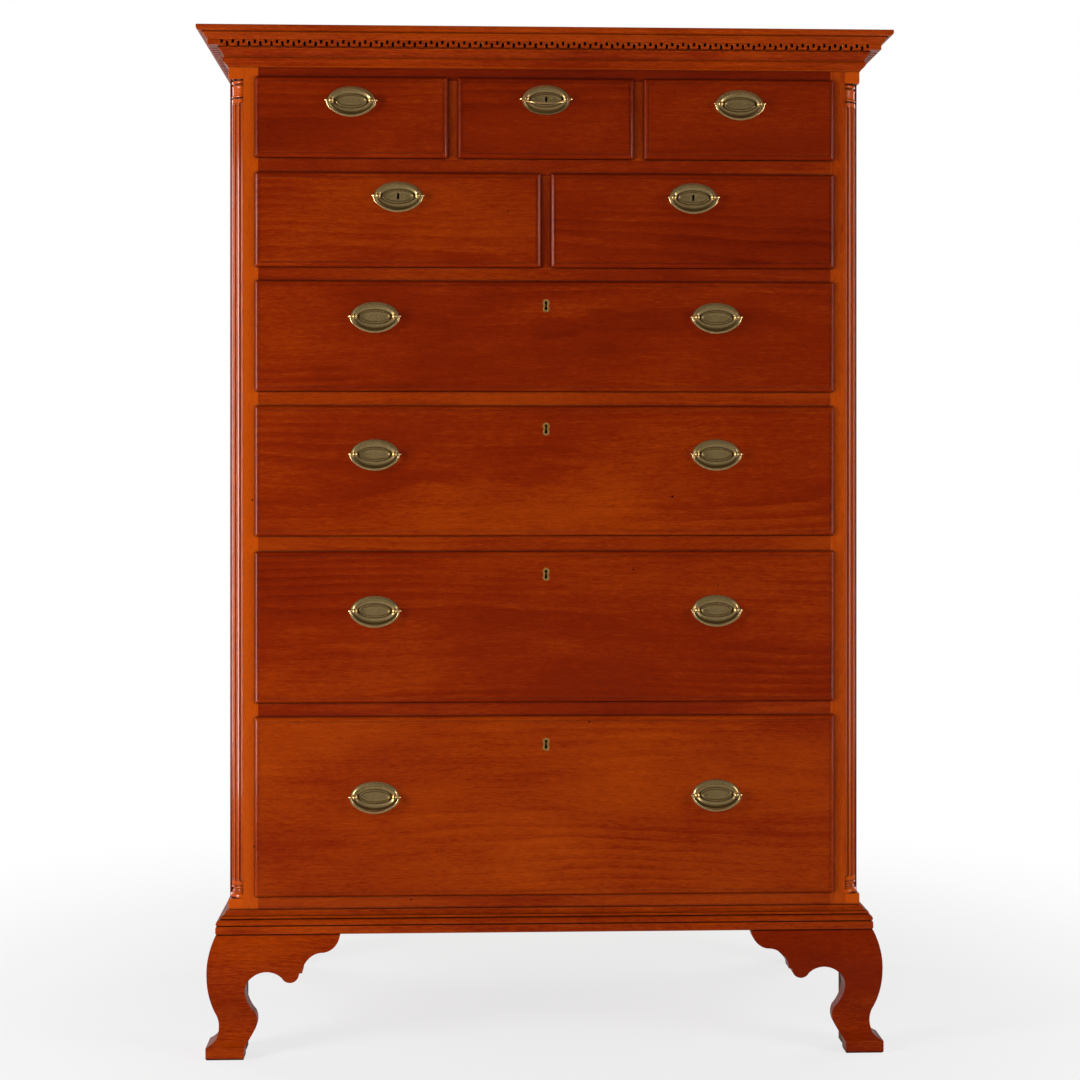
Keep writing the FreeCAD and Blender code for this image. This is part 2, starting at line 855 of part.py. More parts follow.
def lipped_panel(opening):
    """Thumb-moulded face of a drawer front, standing proud of the case."""
    x0 = opening.left - lip_overlap
    x1 = opening.right + lip_overlap
    z0 = opening.floor + front_clearance
    z1 = opening.ceiling + lip_overlap
    face_y = lip_step - lip_projection
    slab = box(x0, x1, face_y, -lip_gap, z0, z1)
    edges = [edge for edge in slab.Edges if abs(edge.CenterOfMass.y - face_y) < 0.01]
    slab = slab.makeFillet(lip_round, edges)
    inset = lip_border
    field = box(x0 + inset, x1 - inset, -lip_projection, face_y, z0 + inset, z1 - inset)
    return slab.fuse(field)


def drawer_front(drawer):
    """Lipped front with its block, dovetail sockets, groove, lock mortise and holes."""
    opening = drawer.opening
    left, right, top = block_edges(opening)
    block = box(left, right, -lip_gap, front_block, opening.floor + front_clearance, top)
    front = lipped_panel(opening).fuse(block).removeSplitter()
    cuts = dovetails(opening) + [drawer_bottom_board(opening)]
    for pull in drawer.pulls:
        for x in post_places(pull):
            cuts.append(rod_y(x, pull.z, post_shank_radius + post_hole_clearance, pull_face, front_block))
    if drawer.lock_z:
        cuts.append(lock_body(drawer))
        cuts.append(keyhole(drawer, pull_face - plate_boss_height))
    if drawer.inlaid:
        cuts.append(escutcheon_blank(drawer))
    return [front.cut(cuts)]


# ---------------------------------------------------------------- locks
def bolt_span_y():
    """Front and back faces of a lock bolt."""
    middle = front_block - lock_depth / 2
    return middle - bolt_thickness / 2, middle + bolt_thickness / 2


def lock_body(drawer):
    """Outside of a lock: its case and the selvage let into the drawer's top edge."""
    x = lock_x(drawer)
    y0 = front_block - lock_depth
    top = block_edges(drawer.opening)[2]
    case = box(x - lock_width / 2, x + lock_width / 2, y0, front_block, drawer.lock_z - lock_below_key, top)
    half = selvage_width / 2
    selvage = box(x - half, x + half, y0, front_block, top - selvage_thickness, top)
    return case.fuse(selvage).removeSplitter()


def bolt_box(drawer, clearance, depth):
    """Bolt's outline, grown by a clearance, from its top down."""
    x = lock_x(drawer)
    y0, y1 = bolt_span_y()
    half = bolt_width / 2 + clearance
    top = block_edges(drawer.opening)[2]
    return box(x - half, x + half, y0 - clearance, y1 + clearance, top - depth, top - bolt_inset + clearance)


def lock_bolt(drawer):
    return [bolt_box(drawer, 0, bolt_height)]


def keyhole_face(drawer, y):
    """Keyhole: a round head for the key's barrel over a flared slot for its bit."""
    x = lock_x(drawer)
    z = drawer.lock_z
    if drawer.inlaid:
        half = keyhole_slot_half
        skirt = keyhole_skirt_half
        steps = [
            ((0, keyhole_head_top), (half, keyhole_head_foot)),
            ((half, keyhole_slot_foot),),
            ((skirt, keyhole_skirt_height),),
            ((0, keyhole_bottom), (-skirt, keyhole_skirt_height)),
            ((-half, keyhole_slot_foot),),
        ]
        start = (-half, keyhole_head_foot)
    else:
        half = boss_keyhole_width / 2
        tall = boss_keyhole_height / 2
        steps = [
            ((0, tall), (half, tall - half)),
            ((half, half - tall),),
            ((0, -tall), (-half, half - tall)),
        ]
        start = (-half, tall - half)
    return closed_face(start, steps, lambda u, v: Vector(x + u, y, z + v))


def keyhole(drawer, start_y):
    """Keyhole from in front of the drawer into the lock."""
    end_y = front_block - lock_depth + key_pocket
    return keyhole_face(drawer, start_y).extrude(Vector(0, end_y - start_y, 0))


def lock_case(drawer):
    """Lock with the pocket its bolt slides in, its keyhole and the pin that the key turns on."""
    pocket = bolt_box(drawer, bolt_clearance, bolt_height + bolt_clearance)
    hole = keyhole(drawer, pull_face)
    boss_head_height = (boss_keyhole_height - boss_keyhole_width) / 2
    pin_z = drawer.lock_z + (keyhole_head_height if drawer.inlaid else boss_head_height)
    end_y = front_block - lock_depth + key_pocket
    pin = rod_y(lock_x(drawer), pin_z, key_pin_radius, front_block - lock_depth, end_y)
    return lock_body(drawer).cut([pocket, hole]).fuse(pin)


def escutcheon_blank(drawer):
    """Inlaid keyhole plate before its hole is cut."""
    x = lock_x(drawer)
    waist = escutcheon_waist_half
    skirt = escutcheon_skirt_half
    steps = [
        ((0, escutcheon_half_height), (waist, escutcheon_waist_height)),
        ((skirt, escutcheon_skirt_height),),
        ((0, -escutcheon_half_height), (-skirt, escutcheon_skirt_height)),
    ]
    start = (-waist, escutcheon_waist_height)
    face = closed_face(start, steps, lambda u, v: Vector(x + u, pull_face, drawer.lock_z + v))
    return face.extrude(Vector(0, escutcheon_thickness, 0))


# ---------------------------------------------------------------- pulls
def rod_y(x, z, radius, y0, y1):
    return Part.makeCylinder(radius, y1 - y0, Vector(x, y0, z), Vector(0, 1, 0))


def rod_x(x0, x1, radius):
    """Rod along the hinge line of a pull whose centre is the origin."""
    return Part.makeCylinder(radius, x1 - x0, Vector(x0, pivot_y, 0), Vector(1, 0, 0))


def post_places(pull):
    return pull.x - post_spacing / 2, pull.x + post_spacing / 2


def oval_wire(half_w, half_h, height):
    """Oval on a plane that lies height in front of the drawer's face."""
    y = pull_face - height
    centre = Vector(0, y, 0)
    return Part.Wire(Part.Ellipse(Vector(half_w, y, 0), Vector(0, y, half_h), centre).toShape())


def oval_frustum(low, high):
    """Solid between two ovals, each (inset from the plate's edge, height)."""
    wires = []
    for inset, height in (low, high):
        wires.append(oval_wire(plate_half_width - inset, plate_half_height - inset, height))
    return Part.makeLoft(wires, True, True)


def pull_plate():
    """Stamped oval plate: flat rim, raised ring, hollow, and a dished boss in the middle."""
    top = plate_ring_height
    boss = plate_boss_height
    sheet = oval_frustum((0, 0), (plate_bevel, plate_sheet))
    foot, crest, inner_crest, inner_foot = plate_ring_insets
    ring = oval_frustum((foot, plate_sheet), (crest, top))
    ring = ring.cut(oval_frustum((inner_foot, plate_sheet), (inner_crest, top)))
    foot, crest, dish_edge, dish_foot = plate_boss_insets
    raised = oval_frustum((foot, plate_sheet), (crest, boss))
    raised = raised.cut(oval_frustum((dish_foot, top), (dish_edge, boss)))
    plate = sheet.fuse([ring, raised])
    for x in (-post_spacing / 2, post_spacing / 2):
        plate = plate.cut(rod_y(x, 0, post_shank_radius + post_hole_clearance, pull_face - boss, pull_face))
    return plate


def pull_post(x):
    """Ball-headed post, bored across for the bail, with its shank through the drawer front."""
    collar_y = pull_face - plate_ring_height
    post = Part.makeSphere(post_ball_radius, Vector(x, pivot_y, 0))
    shank = rod_y(x, 0, post_shank_radius, pivot_y, front_block + post_tail)
    collar = rod_y(x, 0, post_collar_radius, pivot_y + post_ball_radius / 2, collar_y)
    bore = rod_x(x - 2 * post_ball_radius, x + 2 * post_ball_radius, bail_pin_radius + bail_pin_clearance)
    return post.fuse([shank, collar]).removeSplitter().cut(bore)


def pull_nut(x):
    half = nut_width / 2
    nut = box(x - half, x + half, front_block, front_block + nut_thickness, -half, half)
    hole = rod_y(x, 0, post_shank_radius + post_hole_clearance, front_block, front_block + nut_thickness)
    return nut.cut(hole)


def pull_set(pull, drawer):
    """Plate, posts and nuts of one pull."""
    plate = pull_plate()
    if pull.keyed:
        hole = keyhole(drawer, pull_face - 2 * plate_boss_height)
        plate = plate.cut(hole.translated(Vector(-pull.x, 0, -pull.z)))
    pieces = [plate]
    for x in (-post_spacing / 2, post_spacing / 2):
        pieces += [pull_post(x), pull_nut(x)]
    return [piece.translated(Vector(pull.x, 0, pull.z)) for piece in pieces]


def bail_bow():
    """Bow of a bail: a wide arc with a tighter arc at each end, each a part of a ring."""
    a = bail_half_width
    b = bail_drop
    bend = bail_end_bend
    main = (a * a + b * b - 2 * a * bend) / (2 * (b - bend))
    sweep = math.degrees(math.atan2(a - bend, main - b))
    circle = Part.Circle(Vector(0, pivot_y, -b), Vector(1, 0, 0), bail_radius)
    disc = Part.Face(Part.Wire(circle.toShape()))
    centre = Vector(0, pivot_y, main - b)
    half_bow = disc.revolve(centre, Vector(0, -1, 0), sweep)
    circle = Part.Circle(Vector(a, pivot_y, 0), Vector(0, 0, 1), bail_radius)
    disc = Part.Face(Part.Wire(circle.toShape()))
    end = disc.revolve(Vector(a - bend, pivot_y, 0), Vector(0, 1, 0), 90 - sweep)
    return both_sides(half_bow) + both_sides(end)


def bail():
    """Bow, ears and hinge pins of a bail whose hinge line runs through the origin's height."""
    inner = post_spacing / 2 - post_ball_radius - bail_pin_reach
    pin = rod_x(inner, bail_half_width, bail_pin_radius)
    corner = Part.makeSphere(bail_ear_radius, Vector(bail_half_width, pivot_y, 0))
    ear_base = Vector(bail_half_width + bail_ear_radius / 3, pivot_y, 0)
    ear = Part.makeCone(bail_ear_radius * 0.9, 0.4, bail_ear_length, ear_base, Vector(1, 0, 0))
    parts = bail_bow()
    for part in (pin, corner, ear):
        parts += both_sides(part)
    return parts[0].fuse(parts[1:]).removeSplitter()


def placed_bail(pull):
    shape = bail()
    if pull.raised:
        shape = shape.copy()
        shape.rotate(Vector(0, pivot_y, 0), Vector(-1, 0, 0), raised_bail_angle)
    return [shape.translated(Vector(pull.x, 0, pull.z))]


def drawer_brasses(drawer):
    """Pull plates, posts and nuts, the lock and the inlaid keyhole plate of one drawer."""
    pieces = []
    for pull in drawer.pulls:
        pieces += pull_set(pull, drawer)
    if drawer.lock_z:
        pieces.append(lock_case(drawer))
    if drawer.inlaid:
        pieces.append(escutcheon_blank(drawer).cut(keyhole(drawer, pull_face)))
    return pieces


# ---------------------------------------------------------------- nodes
def case_nodes():
    return {
        "left_side_board": [mirrored(side_board())],
        "right_side_board": [side_board()],
        "top_and_bottom_boards": [top_board(), bottom_board()],
        "back_boards": back_boards(),
        "front_posts": both_sides(corner_post()),
        "drawer_rails": drawer_rails(),
        "drawer_runners": drawer_runners(),
        "quarter_columns": quarter_columns(),
        "cornice_mouldings": crown_moulding() + bed_moulding(),
        "dentil_band": dentil_band(),
        "base_moulding": base_moulding(),
        "bracket_feet": bracket_feet(),
        "foot_glue_blocks": foot_glue_blocks(),
    }


def drawer_nodes(drawer):
    nodes = {
        drawer.name + "_drawer_front": drawer_front(drawer),
        drawer.name + "_drawer_box": drawer_box(drawer),
        drawer.name + "_drawer_brasses": drawer_brasses(drawer),
    }
    for pull in drawer.pulls:
        nodes[pull.bail] = placed_bail(pull)
    if drawer.lock_z:
        nodes[drawer.name + "_drawer_lock_bolt"] = lock_bolt(drawer)
    return nodes


def single_solids(pieces):
    """The solids of a list of shapes, without the compounds that cutting leaves."""
    solids = []
    for piece in pieces:
        solids.extend(piece.Solids)
    return solids


def write_node(name, pieces):
    shape = Part.makeCompound(single_solids(pieces))
    shape.translate(Vector(0, case_front_y, 0))
    shape.exportStep(os.path.join("parts", name + ".step"))


def write_all():
    os.makedirs("parts", exist_ok=True)
    nodes = case_nodes()
    for drawer in all_drawers():
        nodes.update(drawer_nodes(drawer))
    for name, pieces in nodes.items():
        write_node(name, pieces)


write_all()
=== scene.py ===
"""Tall chest of nine lipped drawers with fluted quarter columns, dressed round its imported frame.

Metres. +X is to the chest's right, +Y to the back, +Z up, and the origin is on the floor.
"""

import json
import math
import random

import bmesh
import bpy
from bpy.props import FloatProperty, FloatVectorProperty, IntProperty, PointerProperty
from mathutils import Matrix, Vector


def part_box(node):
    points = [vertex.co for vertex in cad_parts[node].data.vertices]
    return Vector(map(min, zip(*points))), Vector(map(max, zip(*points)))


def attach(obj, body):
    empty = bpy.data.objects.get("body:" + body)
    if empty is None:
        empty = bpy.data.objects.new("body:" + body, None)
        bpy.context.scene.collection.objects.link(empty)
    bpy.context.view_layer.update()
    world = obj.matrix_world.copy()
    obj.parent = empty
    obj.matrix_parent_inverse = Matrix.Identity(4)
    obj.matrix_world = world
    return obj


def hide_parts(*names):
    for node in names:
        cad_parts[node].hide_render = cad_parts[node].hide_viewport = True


bl_info = {
    "name": "Tall Chest of Drawers",
    "version": (1, 0, 0),
    "blender": (4, 5, 0),
    "location": "View3D > Sidebar > Tall Chest",
    "description": "Models and finishes a walnut tall chest of drawers round its packed frame",
    "category": "Object",
}

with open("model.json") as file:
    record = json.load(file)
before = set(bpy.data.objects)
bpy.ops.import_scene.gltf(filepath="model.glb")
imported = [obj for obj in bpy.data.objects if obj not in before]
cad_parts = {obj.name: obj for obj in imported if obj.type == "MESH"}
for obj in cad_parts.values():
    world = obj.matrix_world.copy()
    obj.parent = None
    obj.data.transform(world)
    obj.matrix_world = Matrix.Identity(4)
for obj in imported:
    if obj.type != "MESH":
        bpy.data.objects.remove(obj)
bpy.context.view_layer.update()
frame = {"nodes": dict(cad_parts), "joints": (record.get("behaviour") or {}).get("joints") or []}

# ---------------------------------------------------------------- places read from the frame
MM = 0.001
ROWS = {
    "bottom": ["bottom"],
    "fifth": ["fifth"],
    "fourth": ["fourth"],
    "third": ["third"],
    "second": ["second_left", "second_right"],
    "top": ["top_left", "top_middle", "top_right"],
}
DRAWERS = [drawer for row in ROWS.values() for drawer in row]
INLAID_KEY_DROPS = {"third": 39.0 * MM, "fourth": 36.7 * MM, "fifth": 36.2 * MM, "bottom": 44.7 * MM}
BOSS_KEYED = ["top_middle", "second_left", "second_right"]
HINGES = {j["child"]: Vector(j["pos_m"]) for j in frame["joints"] if j["type"] == "hinge"}
RAISED_BAIL = "top_middle_drawer_bail"
# Tones of the rails from the lowest up; the last, the frieze under the cornice, is made much darker as
# painted shadow of the cornice.
RAIL_TONES = (0.0, -0.14, 0.0, 0.02, -0.12, -0.06, -0.42)
MORTISE_ROOM = Vector((1, 1, 9)) * MM

CASE_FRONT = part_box("front_posts")[0].y
CASE_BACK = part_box("right_side_board")[1].y
HALF_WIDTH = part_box("right_side_board")[1].x
SIDE_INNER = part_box("right_side_board")[0].x
COLUMN_AXIS_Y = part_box("right_side_board")[0].y
FOOT_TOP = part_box("right_side_board")[0].z
CASE_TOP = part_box("cornice_mouldings")[1].z
CORNICE_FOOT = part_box("cornice_mouldings")[0].z
CORNICE_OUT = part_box("cornice_mouldings")[1].x - HALF_WIDTH
DENTIL_LOW, DENTIL_HIGH = (corner.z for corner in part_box("dentil_band"))
DENTIL_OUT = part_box("dentil_band")[1].x - HALF_WIDTH
BASE_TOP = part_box("base_moulding")[1].z
BASE_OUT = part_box("base_moulding")[1].x - HALF_WIDTH
TOE_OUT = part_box("bracket_feet")[1].x - HALF_WIDTH
CAP_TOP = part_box("quarter_columns")[1].z
DRAWER_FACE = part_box("bottom_drawer_front")[0].y
BLOCK_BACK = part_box("bottom_drawer_front")[1].y

ALONG_X = (Vector((1, 0, 0)), Vector((0, 1, 0)))
ALONG_Z = (Vector((0, 0, 1)), Vector((0, 1, 0)))
ALONG_Z_SIDE = (Vector((0, 0, 1)), Vector((1, 0, 0)))
ALONG_Y = (Vector((0, 1, 0)), Vector((1, 0, 0)))
ALONG_X_FLAT = (Vector((1, 0, 0)), Vector((0, 0, 1)))


# ---------------------------------------------------------------- what a user would change
def length(label, text, value, **settings):
    return FloatProperty(name=label, description=text, default=value * MM, unit="LENGTH", **settings)


def angle(label, text, degrees):
    return FloatProperty(name=label, description=text, default=math.radians(degrees), unit="ROTATION")


def colour(label, text, value):
    return FloatVectorProperty(
        name=label, description=text, default=value, subtype="COLOR", size=3, min=0, max=1
    )


def share(label, text, value):
    return FloatProperty(name=label, description=text, default=value, subtype="FACTOR", min=0, max=1)


class ChestSizes(bpy.types.PropertyGroup):
    """Sizes of the parts that the frame doesn't give"""

    arris: length("Arris", "Width of the eased edges of boards", 0.7)
    fine_arris: length("Fine arris", "Width of the eased edges of mouldings and drawer lips", 0.35)
    post_width: length("Post width", "Width of the front posts beside the drawers", 23.2)
    rail_depth: length("Rail depth", "Depth of the rails between the drawers", 60.0)
    face_rail_depth: length("Face rail depth", "Depth of the lowest and the highest rail", 25.0)
    lip_overlap: length("Lip overlap", "How far a drawer's lip covers the case", 4.6)
    rail_gap: length("Rail gap", "Gap between a drawer's lip and the rail under it", 0.8)
    side_stock: length("Drawer side", "Thickness of the drawers' sides", 11.0)
    back_stock: length("Drawer back", "Thickness of the drawers' backs", 12.0)
    bottom_stock: length("Drawer bottom", "Thickness of the drawers' bottoms", 8.0)
    bottom_lift: length("Bottom lift", "Height of a drawer's bottom above the sides' lower edge", 8.0)
    dovetail_length: length("Dovetail length", "Length of the dovetails", 10.0)
    dovetail_spacing: length("Dovetail spacing", "Wanted distance between dovetails", 40.0)
    bed_out: length("Bed moulding", "Projection of the bed moulding under the dentils", 14.8)
    dentil_pitch: length("Dentil pitch", "Distance between the slots of the dentil band", 17.3)
    dentil_slot: length("Dentil slot", "Width of a slot of the dentil band", 4.2)
    dentil_slot_height: length("Dentil slot height", "Height of a slot of the dentil band", 5.8)
    dentil_corner: length("Dentil corner", "Distance from the band's end to its first slot", 22.0)
    foot_stock: length("Foot stock", "Thickness of the bracket feet", 36.0)
    bracket_length: length("Bracket length", "Length of a bracket from the corner of the case", 178.3)
    toe_height: length("Toe height", "Height of the square pad under a foot", 19.5)
    column_radius: length("Column radius", "Radius of the quarter columns' shafts", 20.7)
    plinth_height: length("Plinth height", "Height of the block under a quarter column", 53.5)
    cap_height: length("Cap height", "Height of the block over a quarter column", 55.0)
    flute_radius: length("Flute radius", "Radius of the flutes", 3.6)
    flute_depth: length("Flute depth", "Depth of the flutes", 2.4)
    flute_count: IntProperty(name="Flutes", description="Flutes on each quarter column", default=4, min=1)
    plate_half_width: length("Plate half width", "Half the width of the oval pull plates", 38.0)
    plate_half_height: length("Plate half height", "Half the height of the oval pull plates", 23.5)
    post_spacing: length("Post spacing", "Distance between the two posts of a pull", 63.4)
    ball_radius: length("Ball radius", "Radius of the ball heads of the pull posts", 4.2)
    bail_half_width: length("Bail half width", "Half the width of a bail", 38.2)
    bail_drop: length("Bail drop", "Height of a bail", 24.7)
    bail_thickness: length("Bail thickness", "Thickness of a bail", 3.2)
    raised_angle: angle("Raised bail", "How far the top middle bail stands out", 65)


class ChestFinish(bpy.types.PropertyGroup):
    """Colours and surfaces of the woods and metals"""

    walnut_dark: colour("Walnut, dark", "Late wood and figure of the polished walnut", (0.085, 0.003, 0.0001))
    walnut_mid: colour("Walnut, middle", "Ground colour of the polished walnut", (0.215, 0.015, 0.0003))
    walnut_light: colour("Walnut, light", "Brightest streaks of the polished walnut", (0.420, 0.058, 0.0008))
    poplar_dark: colour("Poplar, dark", "Grain lines of the inside wood", (0.210, 0.112, 0.046))
    poplar_light: colour("Poplar, light", "Ground colour of the inside wood", (0.520, 0.330, 0.160))
    polish_roughness: share("Polish", "Roughness of the polish", 0.21)
    # Lightens the eased edges: worn finish, and a painted highlight.
    wear_and_highlight: share("Wear", "Rubbing along edges", 0.5)
    brass_bright: colour("Brass, bright", "Rubbed high places of the brasses", (0.900, 0.640, 0.270))
    brass_dull: colour("Brass, dull", "Patina of the brasses", (0.580, 0.365, 0.138))
    # Dark brass for hollows and seams: grime, and painted shade round the posts and bail.
    brass_dark: colour("Brass, dark", "Dirt in the hollows of the brasses", (0.016, 0.009, 0.003))
    iron: colour("Iron", "Lock cases, bolts and nails", (0.060, 0.052, 0.045))


class ChestStage(bpy.types.PropertyGroup):
    """Floor, lamps and camera"""

    floor_colour: colour("Floor", "Colour of the floor", (0.85, 0.85, 0.85))
    camera_x: length("Camera X", "How far the camera stands to the right", -135.2)
    camera_distance: length("Camera distance", "From the front of the case to the camera", 3200.0)
    camera_height: length("Camera height", "Height of the camera", 939.5)
    camera_turn: angle("Camera turn", "Turn of the camera to the right", 2.25)
    camera_lens: FloatProperty(name="Lens", description="Focal length in millimetres", default=66.67, min=1)
    camera_shift: FloatProperty(name="Shift", description="Vertical shift of the lens", default=-0.07)
    left_power: FloatProperty(name="Left lamp", description="Power in watts", default=74.0, min=0)
    right_power: FloatProperty(name="Right lamp", description="Power in watts", default=36.0, min=0)
    rim_power: FloatProperty(name="Rim lamps", description="Power of each in watts", default=20.0, min=0)


# ---------------------------------------------------------------- bench tools
def take(piece):
    """Makes a piece the only one selected, out of edit mode."""
    if bpy.context.object and bpy.context.object.mode != "OBJECT":
        bpy.ops.object.mode_set(mode="OBJECT")
    bpy.ops.object.select_all(action="DESELECT")
    if piece is not None:
        piece.select_set(True)
        bpy.context.view_layer.objects.active = piece
    return piece


def on_bench(piece, whole=False):
    """Opens a piece in edit mode with nothing selected, or the whole piece."""
    take(piece)
    bpy.ops.object.mode_set(mode="EDIT")
    bpy.ops.mesh.select_mode(type="FACE")
    bpy.ops.mesh.select_all(action="SELECT" if whole else "DESELECT")


def pick(test, kind="FACE"):
    """In edit mode, selects the faces, edges or vertices that pass a test."""
    bpy.ops.mesh.select_mode(type=kind)
    bpy.ops.mesh.select_all(action="DESELECT")
    mesh = bpy.context.object.data
    shape = bmesh.from_edit_mesh(mesh)
    parts = {"FACE": shape.faces, "EDGE": shape.edges, "VERT": shape.verts}[kind]
    for part in parts:
        if test(part):
            part.select_set(True)
    shape.select_flush_mode()
    bmesh.update_edit_mesh(mesh)


def pull(run):
    """In edit mode, extrudes what is selected along run."""
    bpy.ops.mesh.extrude_region_move(TRANSFORM_OT_translate={"value": run})


def middle(edge):
    return (edge.verts[0].co + edge.verts[1].co) / 2


def started(name):
    """Names the primitive that was just added and puts its place into its mesh."""
    piece = bpy.context.object
    piece.name = name
    piece.data.name = name
    bpy.ops.object.transform_apply(location=True, rotation=True, scale=True)
    return piece


def outward():
    """In edit mode, closes seams and turns all faces outwards."""
    bpy.ops.mesh.select_all(action="SELECT")
    bpy.ops.mesh.remove_doubles(threshold=0.000005)
    bpy.ops.mesh.normals_make_consistent(inside=False)


def block(name, low, high):
    """Squared block between two corners."""
    low = Vector(low)
    high = Vector(high)
    take(None)
    bpy.ops.mesh.primitive_cube_add(size=1, location=(low + high) / 2)
    bpy.context.object.scale = high - low
    return started(name)


def arc_points(start, through, end, count):
    """Points after start along the arc from start through a middle point to end."""
    ax, ay = start
    bx, by = through
    cx, cy = end
    twice = 2 * (ax * (by - cy) + bx * (cy - ay) + cx * (ay - by))
    a2, b2, c2 = ax * ax + ay * ay, bx * bx + by * by, cx * cx + cy * cy
    ux = (a2 * (by - cy) + b2 * (cy - ay) + c2 * (ay - by)) / twice
    uy = (a2 * (cx - bx) + b2 * (ax - cx) + c2 * (bx - ax)) / twice
    first = math.atan2(ay - uy, ax - ux)
    turn = (math.atan2(cy - uy, cx - ux) - first) % math.tau
    halfway = (math.atan2(by - uy, bx - ux) - first) % math.tau
    if halfway > turn:
        turn -= math.tau
    radius = math.hypot(ax - ux, ay - uy)
    angles = [first + turn * (step + 1) / count for step in range(count)]
    return [(ux + radius * math.cos(angle), uy + radius * math.sin(angle)) for angle in angles]


def outline(start, steps, arc_count=8):
    """Points of a closed outline. Each step is (end,) for a line or (middle, end) for an arc."""
    points = [start]
    for step in steps:
        if len(step) == 2:
            points += arc_points(points[-1], step[0], step[1], arc_count)
        else:
            points.append(step[0])
    if math.dist(points[0], points[-1]) < 1e-7:
        points.pop()
    return points


def flat_shape(name, points):
    """Flat face whose corners are moved one by one to the given points."""
    take(None)
    bpy.ops.mesh.primitive_circle_add(vertices=len(points), radius=0.1, fill_type="NGON")
    piece = started(name)
    for vertex, point in zip(piece.data.vertices, points):
        vertex.co = point
    return piece


def drawn_out(name, points, run):
    """Prism with the given end, drawn out along run. It is left in edit mode."""
    piece = flat_shape(name, points)
    on_bench(piece, whole=True)
    pull(run)
    outward()
    return piece


def lathed(name, points, axis, steps):
    """Solid turned from half its section round an axis through the origin, left in edit mode."""
    piece = flat_shape(name, points)
    on_bench(piece, whole=True)
    bpy.ops.mesh.delete(type="ONLY_FACE")
    pick(lambda edge: middle(edge).cross(Vector(axis)).length > 0.01 * MM, "EDGE")
    bpy.ops.mesh.spin(steps=steps, angle=math.tau, center=(0, 0, 0), axis=axis)
    outward()
    return piece


def sawn(place, waste_side):
    """In edit mode, saws the piece through at a place, and drops what is on the waste side."""
    bpy.ops.mesh.select_all(action="SELECT")
    bpy.ops.mesh.bisect(plane_co=place, plane_no=waste_side, use_fill=True, clear_outer=True)


def cut_by(piece, cutter, operation="DIFFERENCE"):
    """Cuts a piece with another, which is used up."""
    take(piece)
    cut = piece.modifiers.new("Cut", "BOOLEAN")
    cut.operation = operation
    cut.solver = "EXACT"
    cut.object = cutter
    bpy.ops.object.modifier_apply(modifier=cut.name)
    bpy.data.objects.remove(cutter)
    return piece


def joined(pieces):
    """Joins several pieces into the first."""
    take(pieces[0])
    for piece in pieces:
        piece.select_set(True)
    bpy.ops.object.join()
    return pieces[0]


def copy_at(model, name, place):
    """Copy of a model, with its own mesh, moved to a place."""
    copy = bpy.data.objects.new(name, model.data.copy())
    copy.data.name = name
    bpy.context.collection.objects.link(copy)
    copy.data.transform(Matrix.Translation(place))
    return copy


def mirror_copy(piece, name):
    """Mirror image of a piece on the other side of the chest."""
    copy = copy_at(piece, name, (0, 0, 0))
    on_bench(copy, whole=True)
    bpy.ops.transform.resize(value=(-1, 1, 1), center_override=(0, 0, 0))
    bpy.ops.mesh.normals_make_consistent(inside=False)
    take(copy)
    return copy


def bench_copy(node, name):
    """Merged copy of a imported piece, ready to be dressed."""
    piece = bpy.data.objects.new(name, frame["nodes"][node].data.copy())
    piece.data.name = name
    piece.data.materials.clear()
    bpy.context.collection.objects.link(piece)
    take(piece)
    bpy.ops.mesh.customdata_custom_splitnormals_clear()
    on_bench(piece, whole=True)
    bpy.ops.mesh.remove_doubles(threshold=0.00001)
    bpy.ops.mesh.dissolve_limited(angle_limit=math.radians(0.5))
    take(piece)
    return piece


def parted(piece, name):
    """Splits a piece into its separate solids, named in order from the lowest up."""
    take(piece)
    bpy.ops.object.mode_set(mode="EDIT")
    bpy.ops.mesh.separate(type="LOOSE")
    bpy.ops.object.mode_set(mode="OBJECT")
    pieces = sorted(bpy.context.selected_objects, key=lambda p: tuple(round(c, 4) for c in centre(p).zxy))
    for number, part in enumerate(pieces, 1):
        part.name = f"{name}_{number}"
        part.data.name = part.name
    return pieces


def centre(piece):
    corners = [Vector(corner) for corner in piece.bound_box]
    return sum(corners, Vector()) / len(corners)


def eased(piece, width, segments=2, sharpest=32):
    """Rounds the sharp edges of a piece. The rounded faces take the worn material, which is paler as a
    painted highlight.
    """
    take(piece)
    bevel = piece.modifiers.new("Eased edges", "BEVEL")
    bevel.width = width
    bevel.segments = segments
    bevel.limit_method = "ANGLE"
    bevel.angle_limit = math.radians(sharpest)
    bevel.material = len(piece.data.materials) - 1
    bpy.ops.object.modifier_apply(modifier=bevel.name)
    return piece


def coated(piece, *names):
    """Gives a piece its finishes by name, that of its worn and painted-highlight edges last."""
    piece.data.materials.clear()
    for name in names:
        piece.data.materials.append(bpy.data.materials[name])
    return piece


def lay_grain(piece, directions, tone=0.0):
    """Stores where each point lies in its own board: along the grain, through it and across it."""
    along, through = directions
    across = along.cross(through)
    start = centre(piece)
    dice = random.Random(piece.name)
    shift = Vector((dice.uniform(-9, 9), dice.uniform(-0.02, 0.02), dice.uniform(-0.09, 0.09)))
    places = []
    for vertex in piece.data.vertices:
        place = vertex.co - start
        places += [place.dot(along) + shift.x, place.dot(through) + shift.y, place.dot(across) + shift.z]
    board = piece.data.attributes.new("board", "FLOAT_VECTOR", "POINT")
    board.data.foreach_set("vector", places)
    tones = piece.data.attributes.new("tone", "FLOAT", "POINT")
    tones.data.foreach_set("value", [tone + dice.uniform(-0.05, 0.05)] * len(piece.data.vertices))
    return piece


